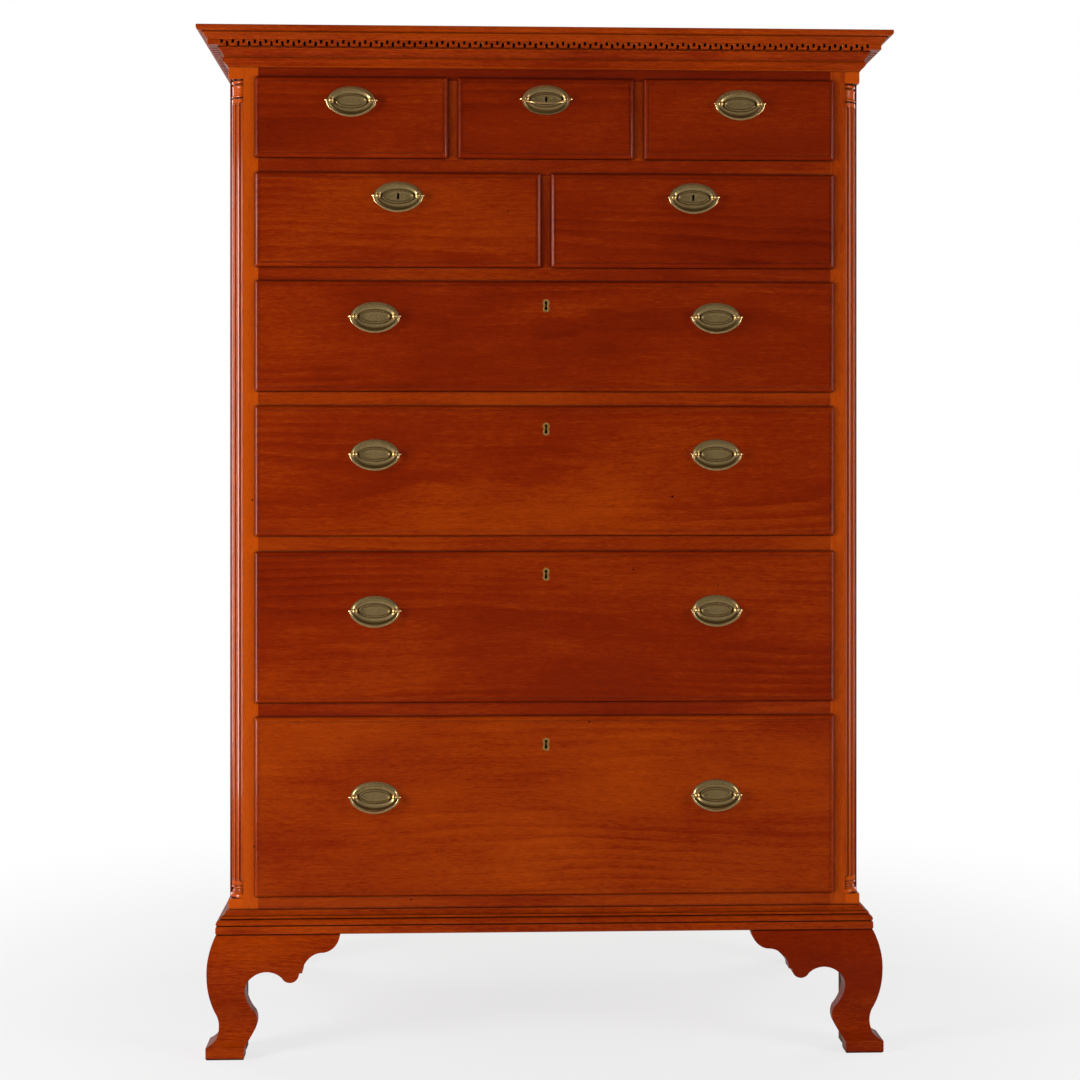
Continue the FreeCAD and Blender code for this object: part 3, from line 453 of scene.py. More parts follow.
def fitted(piece, body, node, sharpest=34):
    """Shades a finished piece, and fits it to the body it moves with and the node it stands for."""
    take(piece)
    bpy.ops.object.shade_smooth_by_angle(angle=math.radians(sharpest))
    normals = piece.modifiers.new("Even shading", "WEIGHTED_NORMAL")
    normals.keep_sharp = True
    bpy.ops.object.modifier_apply(modifier=normals.name)
    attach(piece, body)
    if node:
        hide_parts(node)
    return piece


# ---------------------------------------------------------------- node bench
class NodeBench:
    """Adds nodes to a tree one after another and joins them up."""

    def __init__(self, tree):
        self.tree = tree
        self.count = 0

    def feed(self, sockets, values):
        """Sets input sockets. A value is a plain value, or a socket to join to the input."""
        for name, value in values.items():
            if isinstance(value, bpy.types.NodeSocket):
                self.tree.links.new(value, sockets[name])
            else:
                sockets[name].default_value = value

    def add(self, kind, inputs=None, **settings):
        """New node with its settings and inputs."""
        node = self.tree.nodes.new(kind)
        node.location = (220 * (self.count % 12), -260 * (self.count // 12))
        self.count += 1
        for name, value in settings.items():
            setattr(node, name, value)
        self.feed(node.inputs, inputs or {})
        return node

    def group(self, name, inputs):
        return self.add("ShaderNodeGroup", inputs, node_tree=bpy.data.node_groups[name]).outputs

    def math(self, operation, first, second=0.0, third=0.0, clamp=False):
        inputs = {0: first, 1: second, 2: third}
        return self.add("ShaderNodeMath", inputs, operation=operation, use_clamp=clamp).outputs[0]

    def vector(self, operation, first, second=(0, 0, 0)):
        return self.add("ShaderNodeVectorMath", {0: first, 1: second}, operation=operation)

    def stretched(self, place, scale):
        return self.vector("MULTIPLY", place, scale).outputs[0]

    def noise(self, place, scale=1.0, detail=2.0, roughness=0.5):
        inputs = {"Vector": place, "Scale": scale, "Detail": detail, "Roughness": roughness}
        return self.add("ShaderNodeTexNoise", inputs)

    def grained(self, place, along, across, detail, roughness=0.5):
        """Noise drawn out along the grain, which runs along X."""
        return self.noise(self.stretched(place, (along, across, across)), 1.0, detail, roughness)

    def swing(self, noise, amount):
        """Noise turned into a swing of that whole amount about zero."""
        return self.math("MULTIPLY_ADD", noise, amount, -amount / 2)

    def blend(self, factor, first, second):
        """Mix of two colours."""
        inputs = {0: factor, 6: first, 7: second}
        return self.add("ShaderNodeMix", inputs, data_type="RGBA", clamp_factor=True).outputs[2]

    def spread(self, value, low, high, out_low=0.0, out_high=1.0, kind="SMOOTHSTEP"):
        """Value moved from one range to another, and held inside it."""
        inputs = {"Value": value, "From Min": low, "From Max": high, "To Min": out_low, "To Max": out_high}
        return self.add("ShaderNodeMapRange", inputs, interpolation_type=kind).outputs[0]


def node_group(name, inputs, outputs):
    """Empty shader node group with named sockets: (bench, group input node, group output node)."""
    group = bpy.data.node_groups.new(name, "ShaderNodeTree")
    for label, kind, value in inputs:
        socket = group.interface.new_socket(label, in_out="INPUT", socket_type="NodeSocket" + kind)
        if value is not None:
            socket.default_value = value
    for label, kind in outputs:
        group.interface.new_socket(label, in_out="OUTPUT", socket_type="NodeSocket" + kind)
    bench = NodeBench(group)
    source = bench.add("NodeGroupInput")
    target = bench.add("NodeGroupOutput")
    return bench, source.outputs, target.inputs


def rgba(values):
    return (*values, 1.0)


def toned(values, factor):
    """Colour made lighter or darker."""
    return [min(1.0, channel * factor) for channel in values]


def make_grain_group():
    """Flat-sawn board: growth rings cut along the grain, streaks, pores and specks."""
    bench, given, made = node_group(
        "Board grain",
        [
            ("Place", "Vector", None),
            ("Dark", "Color", None),
            ("Ground", "Color", None),
            ("Light", "Color", None),
            ("Tone", "Float", 0.0),
            ("Figure", "Float", 0.5),
            ("Specks", "Float", 1.0),
        ],
        [("Color", "Color"), ("Roughness", "Float"), ("Height", "Float")],
    )
    place = given["Place"]
    ring_width = 0.012
    pith_depth = 0.090
    centred = (0.5, 0.5, 0.5)
    wander = bench.grained(place, 1.3, 4.0, 1.0)
    drift = bench.vector("SUBTRACT", wander.outputs["Color"], centred).outputs[0]
    wavy = bench.vector("ADD", place, bench.stretched(drift, (0.0, 0.050, 0.050))).outputs[0]
    ripple = bench.grained(place, 8.0, 24.0, 2.0)
    shake = bench.vector("SUBTRACT", ripple.outputs["Color"], centred).outputs[0]
    wavy = bench.vector("ADD", wavy, bench.stretched(shake, (0.0, 0.008, 0.008))).outputs[0]

    section = bench.stretched(wavy, (0.0, 1.0, 1.0))
    from_pith = bench.vector("ADD", section, (0.0, pith_depth, 0.0)).outputs[0]
    radius = bench.vector("LENGTH", from_pith).outputs["Value"]
    parts = bench.add("ShaderNodeSeparateXYZ", {"Vector": place}).outputs
    tapered = bench.math("MULTIPLY_ADD", parts["X"], 0.010, radius)
    rings = bench.math("DIVIDE", tapered, ring_width)
    within = bench.math("FRACT", rings)
    late = bench.spread(within, 0.10, 0.90)
    early = bench.spread(within, 0.90, 1.0, 1.0, 0.0)
    patchy = bench.grained(place, 2.0, 9.0, 2.0).outputs[0]
    line = bench.math("MULTIPLY", late, early)
    line = bench.math("MULTIPLY", line, bench.spread(patchy, 0.38, 0.68))
    line = bench.math("MULTIPLY", line, given["Figure"])

    cloud = bench.grained(wavy, 2.6, 6.5, 3.0, 0.6).outputs[0]
    streak = bench.grained(wavy, 11.0, 230.0, 3.0, 0.65).outputs[0]
    fibre = bench.grained(wavy, 60.0, 800.0, 3.0, 0.7).outputs[0]
    value = bench.swing(cloud, 0.70)
    value = bench.math("ADD", value, bench.swing(streak, 0.30))
    value = bench.math("ADD", value, bench.swing(fibre, 0.70))
    value = bench.math("SUBTRACT", value, bench.math("MULTIPLY", line, 0.22))
    value = bench.math("ADD", value, bench.math("ADD", given["Tone"], 0.53))
    low = bench.blend(bench.spread(value, 0.0, 0.5, kind="LINEAR"), given["Dark"], given["Ground"])
    wood = bench.blend(bench.spread(value, 0.5, 1.0, kind="LINEAR"), low, given["Light"])

    pores = bench.spread(bench.grained(wavy, 110.0, 2200.0, 1.0).outputs[0], 0.58, 0.68)
    wood = bench.blend(bench.math("MULTIPLY", pores, 0.40), wood, given["Dark"])
    face = bench.add("ShaderNodeCombineXYZ", {"X": parts["X"], "Y": parts["Z"]}).outputs[0]
    cells = bench.add(
        "ShaderNodeTexVoronoi", {"Vector": face, "Scale": 7.0}, voronoi_dimensions="2D", feature="F1"
    ).outputs
    draw = bench.add("ShaderNodeSeparateColor", {"Color": cells["Color"]}).outputs
    bare_share = 0.82
    chosen = bench.math("GREATER_THAN", draw["Red"], bare_share)
    size = bench.math("MULTIPLY_ADD", draw["Green"], 0.012, 0.006)
    ragged = bench.math("MULTIPLY_ADD", streak, 0.02, cells["Distance"])
    edge = bench.math("ADD", size, 0.010)
    speck = bench.math("MULTIPLY", bench.spread(ragged, size, edge, 1.0, 0.0), chosen)
    speck = bench.math("MULTIPLY", speck, given["Specks"])
    wood = bench.blend(speck, wood, rgba((0.010, 0.002, 0.001)))

    smudge = bench.grained(place, 7.0, 7.0, 4.0, 0.6).outputs[0]
    rough = bench.swing(smudge, 0.12)
    rough = bench.math("ADD", rough, bench.swing(streak, 0.06))
    height = bench.math("MULTIPLY_ADD", pores, -0.5, bench.math("MULTIPLY", fibre, 0.4))
    plane_marks = bench.grained(place, 9.0, 16.0, 1.0).outputs[0]
    height = bench.math("MULTIPLY_ADD", plane_marks, 4.0, height)
    height = bench.math("SUBTRACT", height, bench.math("MULTIPLY", speck, 1.5))
    bench.feed(made, {"Color": wood, "Roughness": rough, "Height": height})


def make_shade_and_dirt_group():
    """Painted shade with some grime: darkens the hollows of a piece (Reach) and its seams with others (Seam).
    """
    bench, given, made = node_group(
        "Hollow dirt",
        [
            ("Color", "Color", None),
            ("Dirt", "Color", None),
            ("Reach", "Float", 0.007),
            ("Seam", "Float", 0.0045),
            ("Clear", "Float", 0.94),
            ("Amount", "Float", 0.95),
        ],
        [("Color", "Color"), ("Mask", "Float")],
    )
    # Ambient occlusion stands in for shade here: painted shade in hollows and seams, with some grime.
    hollow = bench.add(
        "ShaderNodeAmbientOcclusion", {"Distance": given["Reach"]}, samples=6, only_local=True
    ).outputs["AO"]
    seam = bench.add("ShaderNodeAmbientOcclusion", {"Distance": given["Seam"]}, samples=6).outputs["AO"]
    place = bench.add("ShaderNodeTexCoord").outputs["Object"]
    uneven = bench.noise(place, 90.0, 3.0, 0.6).outputs[0]
    shade = bench.math("MULTIPLY_ADD", uneven, 0.30, bench.math("SUBTRACT", hollow, 0.15))
    mask = bench.spread(shade, 0.45, 0.97, 1.0, 0.0)
    mask = bench.math("MAXIMUM", mask, bench.spread(seam, 0.50, given["Clear"], 1.0, 0.0))
    mask = bench.math("MULTIPLY", mask, given["Amount"])
    bench.feed(made, {"Color": bench.blend(mask, given["Color"], given["Dirt"]), "Mask": mask})


def make_patina_group():
    """Brass colour: bright where it is rubbed, dull in patches, with fine scratches."""
    bench, given, made = node_group(
        "Brass patina",
        [("Bright", "Color", None), ("Dull", "Color", None), ("Rubbed", "Float", 0.5)],
        [("Color", "Color"), ("Roughness", "Float"), ("Height", "Float")],
    )
    place = bench.add("ShaderNodeTexCoord").outputs["Object"]
    cloud = bench.noise(place, 120.0, 4.0, 0.65).outputs[0]
    grit = bench.noise(place, 900.0, 2.0, 0.6).outputs[0]
    scratch = bench.noise(bench.stretched(place, (300.0, 300.0, 3000.0)), 1.0, 1.0).outputs[0]
    rubbed = bench.math("ADD", bench.swing(cloud, 0.9), given["Rubbed"])
    rubbed = bench.math("ADD", rubbed, bench.swing(grit, 0.3), clamp=True)
    outputs = {
        "Color": bench.blend(rubbed, given["Dull"], given["Bright"]),
        "Roughness": bench.spread(rubbed, 0.0, 1.0, 0.34, 0.20, "LINEAR"),
        "Height": bench.math("MULTIPLY_ADD", scratch, 0.3, grit),
    }
    bench.feed(made, outputs)


def new_material(name):
    """New node material: (bench, its Principled BSDF)."""
    material = bpy.data.materials.new(name)
    material.use_nodes = True
    material.node_tree.nodes.clear()
    bench = NodeBench(material.node_tree)
    surface = bench.add("ShaderNodeBsdfPrincipled")
    bench.add("ShaderNodeOutputMaterial", {"Surface": surface.outputs[0]})
    return bench, surface


def bumped(bench, surface, height, distance):
    bump = bench.add("ShaderNodeBump", {"Height": height, "Distance": distance, "Strength": 1.0})
    bench.feed(surface.inputs, {"Normal": bump.outputs[0]})


def wood_material(
    name, dark, ground, light, tone, figure, roughness,
    coat=0.5, turned=None, specks=1.0, dirt=0.95, specular=0.18, relief=0.00002,
):
    """Wood whose grain is laid by each board's own places, or along a turned axis of the object."""
    bench, surface = new_material(name)
    if turned:
        place = bench.add("ShaderNodeTexCoord").outputs["Object"]
        place = bench.add("ShaderNodeMapping", {"Vector": place, "Rotation": turned}).outputs[0]
    else:
        place = bench.add("ShaderNodeAttribute", attribute_name="board").outputs["Vector"]
        own_tone = bench.add("ShaderNodeAttribute", attribute_name="tone").outputs["Fac"]
        tone = bench.math("ADD", own_tone, tone)
    grain_inputs = {
        "Place": place,
        "Dark": rgba(dark),
        "Ground": rgba(ground),
        "Light": rgba(light),
        "Tone": tone,
        "Figure": figure,
        "Specks": specks,
    }
    grain = bench.group("Board grain", grain_inputs)
    # In hollows and seams the grain colour goes toward a tenth of the dark wood: painted shade, with some
    # grime.
    shade_and_dirt_inputs = {"Color": grain["Color"], "Dirt": rgba(toned(dark, 0.10)), "Amount": dirt}
    grimed_and_shaded = bench.group("Hollow dirt", shade_and_dirt_inputs)
    rough = bench.math("ADD", grain["Roughness"], roughness)
    rough = bench.math("MULTIPLY_ADD", grimed_and_shaded["Mask"], 0.25, rough, clamp=True)
    surface_inputs = {
        "Base Color": grimed_and_shaded["Color"],
        "Roughness": rough,
        "Specular IOR Level": specular,
        "Coat Weight": coat,
        "Coat Roughness": 0.07,
        "Coat IOR": 1.5,
    }
    bench.feed(surface.inputs, surface_inputs)
    bumped(bench, surface, grain["Height"], relief)


def brass_material(name, finish, rubbed, metallic, dirt, tint=(1.0, 1.0, 1.0)):
    """Brass with its patina, and its hollows and seams darkened: grime, and painted shade round the posts and
    bail. The tint is laid over both its colours.
    """
    bench, surface = new_material(name)
    bright, dull = (
        rgba([channel * share_of for channel, share_of in zip(metal, tint)])
        for metal in (finish.brass_bright, finish.brass_dull)
    )
    patina = bench.group("Brass patina", {"Bright": bright, "Dull": dull, "Rubbed": rubbed})
    # Dark colour in hollows and seams: patina grime, and painted contact shadow of the posts and bail on the
    # plates.
    shade_and_dirt_inputs = {
        "Color": patina["Color"],
        "Dirt": rgba(finish.brass_dark),
        "Reach": 0.005,
        "Seam": 0.009,
        "Clear": 0.84,
        "Amount": dirt,
    }
    grimed_and_shaded = bench.group("Hollow dirt", shade_and_dirt_inputs)
    rough = bench.math("MULTIPLY_ADD", grimed_and_shaded["Mask"], 0.35, patina["Roughness"], clamp=True)
    shine = bench.math("MULTIPLY_ADD", grimed_and_shaded["Mask"], -metallic, metallic)
    bench.feed(surface.inputs, {"Base Color": grimed_and_shaded["Color"], "Roughness": rough, "Metallic": shine})
    bumped(bench, surface, patina["Height"], 0.00002)


def iron_material(name, finish):
    """Iron with fine scale and brown rust in patches."""
    bench, surface = new_material(name)
    place = bench.add("ShaderNodeTexCoord").outputs["Object"]
    rust = bench.spread(bench.noise(place, 140.0, 4.0, 0.65).outputs[0], 0.45, 0.68)
    scale = bench.noise(place, 700.0, 3.0, 0.6).outputs[0]
    skin = bench.blend(scale, rgba(finish.iron), rgba(toned(finish.iron, 2.0)))
    surface_inputs = {
        "Base Color": bench.blend(rust, skin, rgba((0.075, 0.030, 0.012))),
        "Metallic": bench.math("MULTIPLY_ADD", rust, -0.75, 0.8),
        "Roughness": bench.math("MULTIPLY_ADD", rust, 0.35, 0.45),
    }
    bench.feed(surface.inputs, surface_inputs)
    bumped(bench, surface, scale, 0.00008)


# ---------------------------------------------------------------- operators
class PieceOperator:
    """What the operators share that make or finish pieces."""

    bl_options = {"REGISTER", "UNDO"}

    def execute(self, context):
        self.make(context.scene.chest_sizes, context.scene.chest_finish)
        take(None)
        return {"FINISHED"}


class CHEST_OT_finishes(PieceOperator, bpy.types.Operator):
    """Mixes the walnut, poplar, brass and iron finishes"""

    bl_idname = "chest.finishes"
    bl_label = "Finishes"

    def make(self, sizes, finish):
        make_grain_group()
        make_shade_and_dirt_group()
        make_patina_group()
        dark, ground, light = finish.walnut_dark, finish.walnut_mid, finish.walnut_light
        rough = finish.polish_roughness
        lit = toned(light, 1.25)
        # The eased edges are paler than the faces: worn finish, and a painted highlight along them.
        pale_highlight = toned(light, 1 + finish.wear_and_highlight)
        wood_material("front_walnut", dark, ground, light, 0.0, 0.75, rough, coat=0.35)
        wood_material("case_walnut", dark, ground, light, 0.16, 0.45, rough + 0.02)
        wood_material("moulding_walnut", dark, ground, lit, 0.20, 0.35, rough, specks=0.7)
        wood_material("column_walnut", dark, ground, lit, 0.38, 0.35, rough, coat=0.10, specks=0.7)
        faded = toned(light, 1.15)
        wood_material("post_walnut", dark, ground, faded, 0.20, 0.40, rough + 0.02)
        rubbed = {"coat": 0.25, "dirt": 0.6, "specks": 0.3}
        wood_material("rubbed_walnut", ground, light, pale_highlight, 0.10, 0.3, rough - 0.04, **rubbed)
        # The sawn faces, the dentil slots' walls and the brackets' cut edges, take colours much darker than
        # the polished wood.
        sawn_dark = toned(dark, 0.35)
        unpolished = 0.62
        wood_material("sawn_walnut", sawn_dark, dark, ground, -0.05, 0.3, unpolished, coat=0.0, specular=0.2)
        poplar_mid = [(a + b) / 2 for a, b in zip(finish.poplar_dark, finish.poplar_light)]
        poplars = (finish.poplar_dark, poplar_mid, finish.poplar_light)
        plain = {"coat": 0.0, "relief": 0.00012, "specks": 0.6, "specular": 0.25}
        for name, turned, shade in (
            ("plain_poplar", None, 1.0),
            ("poplar_lengthwise", (0, 0, math.pi / 2), 1.0),
            ("poplar_darkened", (0, math.pi / 2, 0), 0.3),
        ):
            colours = [toned(poplar, shade) for poplar in poplars]
            wood_material(name, *colours, 0.12, 0.5, unpolished, turned=turned, **plain)
        brass_material("patinated_brass", finish, 0.60, 0.82, 0.90)
        # Darkened brass, for grime in the plates' hollows and for the painted shadow under the bail.
        brass_material("grimed_brass", finish, 0.30, 0.70, 0.95, (0.26, 0.23, 0.16))
        brass_material("handled_brass", finish, 0.95, 0.76, 0.30)
        brass_material("rubbed_brass", finish, 0.85, 1.0, 0.35)
        brass_material("inlaid_brass", finish, 0.80, 0.70, 0.20, (0.95, 0.72, 0.48))
        iron_material("black_iron", finish)


class CHEST_OT_case_boards(PieceOperator, bpy.types.Operator):
    """Dresses the side boards, the top and bottom boards and the nailed back boards"""

    bl_idname = "chest.case_boards"
    bl_label = "Case Boards"

    def make(self, sizes, finish):
        for side in ("left", "right"):
            node = side + "_side_board"
            piece = coated(bench_copy(node, side + "_side"), "case_walnut", "rubbed_walnut")
            fitted(lay_grain(eased(piece, sizes.arris), ALONG_Z_SIDE, -0.12), "case", node)
        node = "top_and_bottom_boards"
        boards = parted(bench_copy(node, "board"), "board")
        for piece, name in zip(boards, ("bottom_board", "top_board")):
            piece.name = name
            coated(piece, "case_walnut", "rubbed_walnut")
            fitted(lay_grain(eased(piece, sizes.arris), ALONG_X_FLAT, -0.1), "case", node)
        boards = parted(bench_copy("back_boards", "back_board"), "back_board")
        for piece in boards:
            eased(coated(piece, "plain_poplar"), 2 * sizes.arris)
        self.nail_back(boards)
        for piece in boards:
            dice = random.Random(piece.name + "tone")
            fitted(lay_grain(piece, ALONG_X, dice.uniform(-0.22, 0.12)), "case", "back_boards")

    def nail_back(self, boards):
        """Two hand-made nails through each end of every back board, their heads sunk into it."""
        head_radius = 3.2 * MM
        pit_room = 0.5 * MM
        from_inner_face = 6 * MM
        model = self.peg("nail", head_radius, 1.6 * MM)
        on_bench(model)
        pick(lambda face: face.normal.y > 0.9)
        bpy.ops.mesh.inset(thickness=0.4 * head_radius, depth=0.3 * MM)
        pit = self.peg("nail_pit", head_radius + pit_room, 1.8 * MM)
        sunk = Vector((0, -1.2 * MM, 0))
        nails = []
        for board in boards:
            places = []
            low = Vector(board.bound_box[0])
            high = Vector(board.bound_box[6])
            for side in (-1, 1):
                for share_up in (0.22, 0.78):
                    name = f"nail_{len(nails)}"
                    dice = random.Random(name)
                    x = side * (SIDE_INNER + from_inner_face + dice.uniform(-1, 1) * MM)
                    z = low.z + (high.z - low.z) * (share_up + dice.uniform(-0.04, 0.04))
                    places.append(Vector((x, high.y, z)))
                    nails.append(copy_at(model, name, places[-1] + sunk))
            cut_by(board, joined([copy_at(pit, "pit", place) for place in places]))
        for spent in (model, pit):
            bpy.data.objects.remove(spent)
        nails[0].name = "back_board_nails"
        fitted(coated(joined(nails), "black_iron"), "case", None)

    def peg(self, name, radius, depth):
        """Seven-sided peg lying along Y."""
        take(None)
        bpy.ops.mesh.primitive_cylinder_add(
            vertices=7, radius=radius, depth=depth, rotation=(math.pi / 2, 0, 0)
        )
        return started(name)


class CHEST_OT_posts_and_rails(PieceOperator, bpy.types.Operator):
    """Makes the front posts, the rails between the drawers and the upright dividers"""

    bl_idname = "chest.posts_and_rails"
    bl_label = "Posts and Rails"

    def make(self, sizes, finish):
        inner = SIDE_INNER - sizes.post_width
        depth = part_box("front_posts")[1].y
        post = block("right_front_post", (inner, CASE_FRONT, FOOT_TOP), (SIDE_INNER, depth, CAP_TOP))
        posts = [post, mirror_copy(post, "left_front_post")]
        # The left post is toned lighter than the right one: painted light, as the light falls from the left.
        for piece, tone in zip(posts, (0.10, 0.34)):
            eased(coated(piece, "post_walnut", "rubbed_walnut"), sizes.arris / 2)
            fitted(lay_grain(piece, ALONG_Z, tone), "case", "front_posts")
        below = FOOT_TOP
        under = []
        for number, row in enumerate(ROWS.values(), 1):
            low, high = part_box(row[0] + "_drawer_front")
            depth = sizes.face_rail_depth if number == 1 else sizes.rail_depth
            self.rail(number, (inner, depth), below, low.z - sizes.rail_gap, under, sizes)
            below = high.z - sizes.lip_overlap
            under = row
        self.rail(len(ROWS) + 1, (inner, sizes.face_rail_depth), below, CAP_TOP, under, sizes)
        for name in ("second", "top"):
            self.dividers(name, sizes)

    def rail(self, number, reach, low, high, drawers_under, sizes):
        """One cross rail, with mortises in its underside for the bolts of the drawers below."""
        inner, depth = reach
        piece = block(f"rail_{number}", (-inner, CASE_FRONT, low), (inner, CASE_FRONT + depth, high))
        eased(coated(piece, "case_walnut", "rubbed_walnut"), sizes.arris / 2)
        for drawer in drawers_under:
            node = drawer + "_drawer_lock_bolt"
            if node in frame["nodes"]:
                bolt_low, bolt_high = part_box(node)
                cut_by(piece, block("mortise", bolt_low - MORTISE_ROOM, bolt_high + MORTISE_ROOM))
        fitted(lay_grain(piece, ALONG_X, RAIL_TONES[number - 1]), "case", "drawer_rails")

    def dividers(self, row, sizes):
        """Uprights between the drawers of one row."""
        boxes = [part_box(drawer + "_drawer_front") for drawer in ROWS[row]]
        for number, ((low, high), following) in enumerate(zip(boxes, boxes[1:]), 1):
            left = high.x - sizes.lip_overlap
            right = following[0].x + sizes.lip_overlap
            foot = low.z - sizes.rail_gap
            head = high.z - sizes.lip_overlap
            name = f"{row}_row_divider_{number}"
            piece = block(name, (left, CASE_FRONT, foot), (right, CASE_FRONT + sizes.rail_depth, head))
            eased(coated(piece, "case_walnut", "rubbed_walnut"), sizes.arris / 2)
            fitted(lay_grain(piece, ALONG_Z, -0.04), "case", "drawer_rails")


class CHEST_OT_inside_timbers(PieceOperator, bpy.types.Operator):
    """Finishes the drawer runners and the glue blocks of the feet"""

    bl_idname = "chest.inside_timbers"
    bl_label = "Inside Timbers"

    def make(self, sizes, finish):
        coated(frame["nodes"]["drawer_runners"], "poplar_lengthwise")
        coated(frame["nodes"]["foot_glue_blocks"], "poplar_darkened")


class CHEST_OT_quarter_columns(PieceOperator, bpy.types.Operator):
    """Turns and flutes the two quarter columns, and makes their plinths and caps"""

    bl_idname = "chest.quarter_columns"
    bl_label = "Quarter Columns"

    def make(self, sizes, finish):
        plinth_top = FOOT_TOP + sizes.plinth_height
        cap_foot = CAP_TOP - sizes.cap_height
        shaft = self.turned(sizes, plinth_top, cap_foot)
        corner = (HALF_WIDTH, COLUMN_AXIS_Y)
        plinth = block("right_plinth", (SIDE_INNER, CASE_FRONT, FOOT_TOP), (*corner, plinth_top))
        cap = block("right_cap", (SIDE_INNER, CASE_FRONT, cap_foot), (*corner, CAP_TOP))
        for piece, name, arris in (
            (shaft, "quarter_column", 0),
            (plinth, "column_plinth", sizes.arris),
            (cap, "column_cap", sizes.arris),
        ):
            left = mirror_copy(piece, "left_" + name)
            piece.name = "right_" + name
            for side, wood, tone in ((piece, "column_walnut", 0.16), (left, "moulding_walnut", 0.28)):
                coated(side, wood, "rubbed_walnut")
                if arris:
                    eased(side, arris)
                fitted(lay_grain(side, ALONG_Z, tone), "case", "quarter_columns", 28)

    def turned(self, sizes, low, top):
        """The right-hand column: a turned quarter with its flutes cut."""
        r = sizes.column_radius
        neck = low + 21.0 * MM
        collar = top - 31.0 * MM
        steps = [
            ((r + 2.2 * MM, low),),
            ((r + 2.7 * MM, low + 3.2 * MM), (r + 0.6 * MM, low + 7.6 * MM)),
            ((r - 0.6 * MM, low + 8.2 * MM),),
            ((r - 0.6 * MM, low + 10.6 * MM),),
            ((r - 2.4 * MM, low + 13.0 * MM), (r - 1.2 * MM, low + 15.2 * MM)),
            ((r + 0.2 * MM, low + 17.0 * MM), (r - 1.2 * MM, low + 18.8 * MM)),
            ((r - 1.2 * MM, neck - 1.2 * MM),),
            ((r, neck),),
            ((r, collar),),
            ((r - 2.8 * MM, collar + 1.0 * MM),),
            ((r - 2.8 * MM, collar + 2.2 * MM),),
            ((r - 0.4 * MM, collar + 2.8 * MM),),
            ((r + 0.1 * MM, collar + 4.4 * MM), (r - 0.4 * MM, collar + 6.0 * MM)),
            ((r - 0.9 * MM, collar + 6.6 * MM),),
            ((r - 0.9 * MM, top - 13.4 * MM),),
            ((r - 0.3 * MM, top - 11.3 * MM), (r - 0.9 * MM, top - 9.2 * MM)),
            ((r - 2.6 * MM, top - 8.6 * MM),),
            ((r - 2.6 * MM, top - 7.6 * MM),),
            ((r + 0.2 * MM, top - 4.0 * MM), (r - 1.2 * MM, top - 0.8 * MM)),
            ((r - 1.2 * MM, top),),
            ((0, top),),
        ]
        points = [Vector((SIDE_INNER + out, COLUMN_AXIS_Y, z)) for out, z in outline((0, low), steps, 6)]
        piece = flat_shape("right_quarter_column", points)
        on_bench(piece, whole=True)
        axis = (SIDE_INNER, COLUMN_AXIS_Y, 0)
        bpy.ops.mesh.spin(steps=24, angle=math.pi / 2, center=axis, axis=(0, 0, 1))
        outward()
        return cut_by(piece, self.flutes(sizes, neck, collar))

    def flutes(self, sizes, neck, collar):
        """Round-ended channels, each a ball that is drawn out to a long rod."""
        margin = 9.0 * MM
        out = sizes.column_radius - sizes.flute_depth + sizes.flute_radius
        rods = []
        for number in range(sizes.flute_count):
            angle = (number + 0.5) * math.pi / 2 / sizes.flute_count
            x = SIDE_INNER + out * math.cos(angle)
            place = Vector((x, COLUMN_AXIS_Y - out * math.sin(angle), neck + margin))
            take(None)
            bpy.ops.mesh.primitive_uv_sphere_add(
                segments=24, ring_count=12, radius=sizes.flute_radius, location=place
            )
            rod = started("flute")
            on_bench(rod)
            pick(lambda vertex: vertex.co.z > place.z - 0.00001, "VERT")
            pull((0, 0, collar - neck - 2 * margin))
            outward()
            rods.append(take(rod))
        return joined(rods)


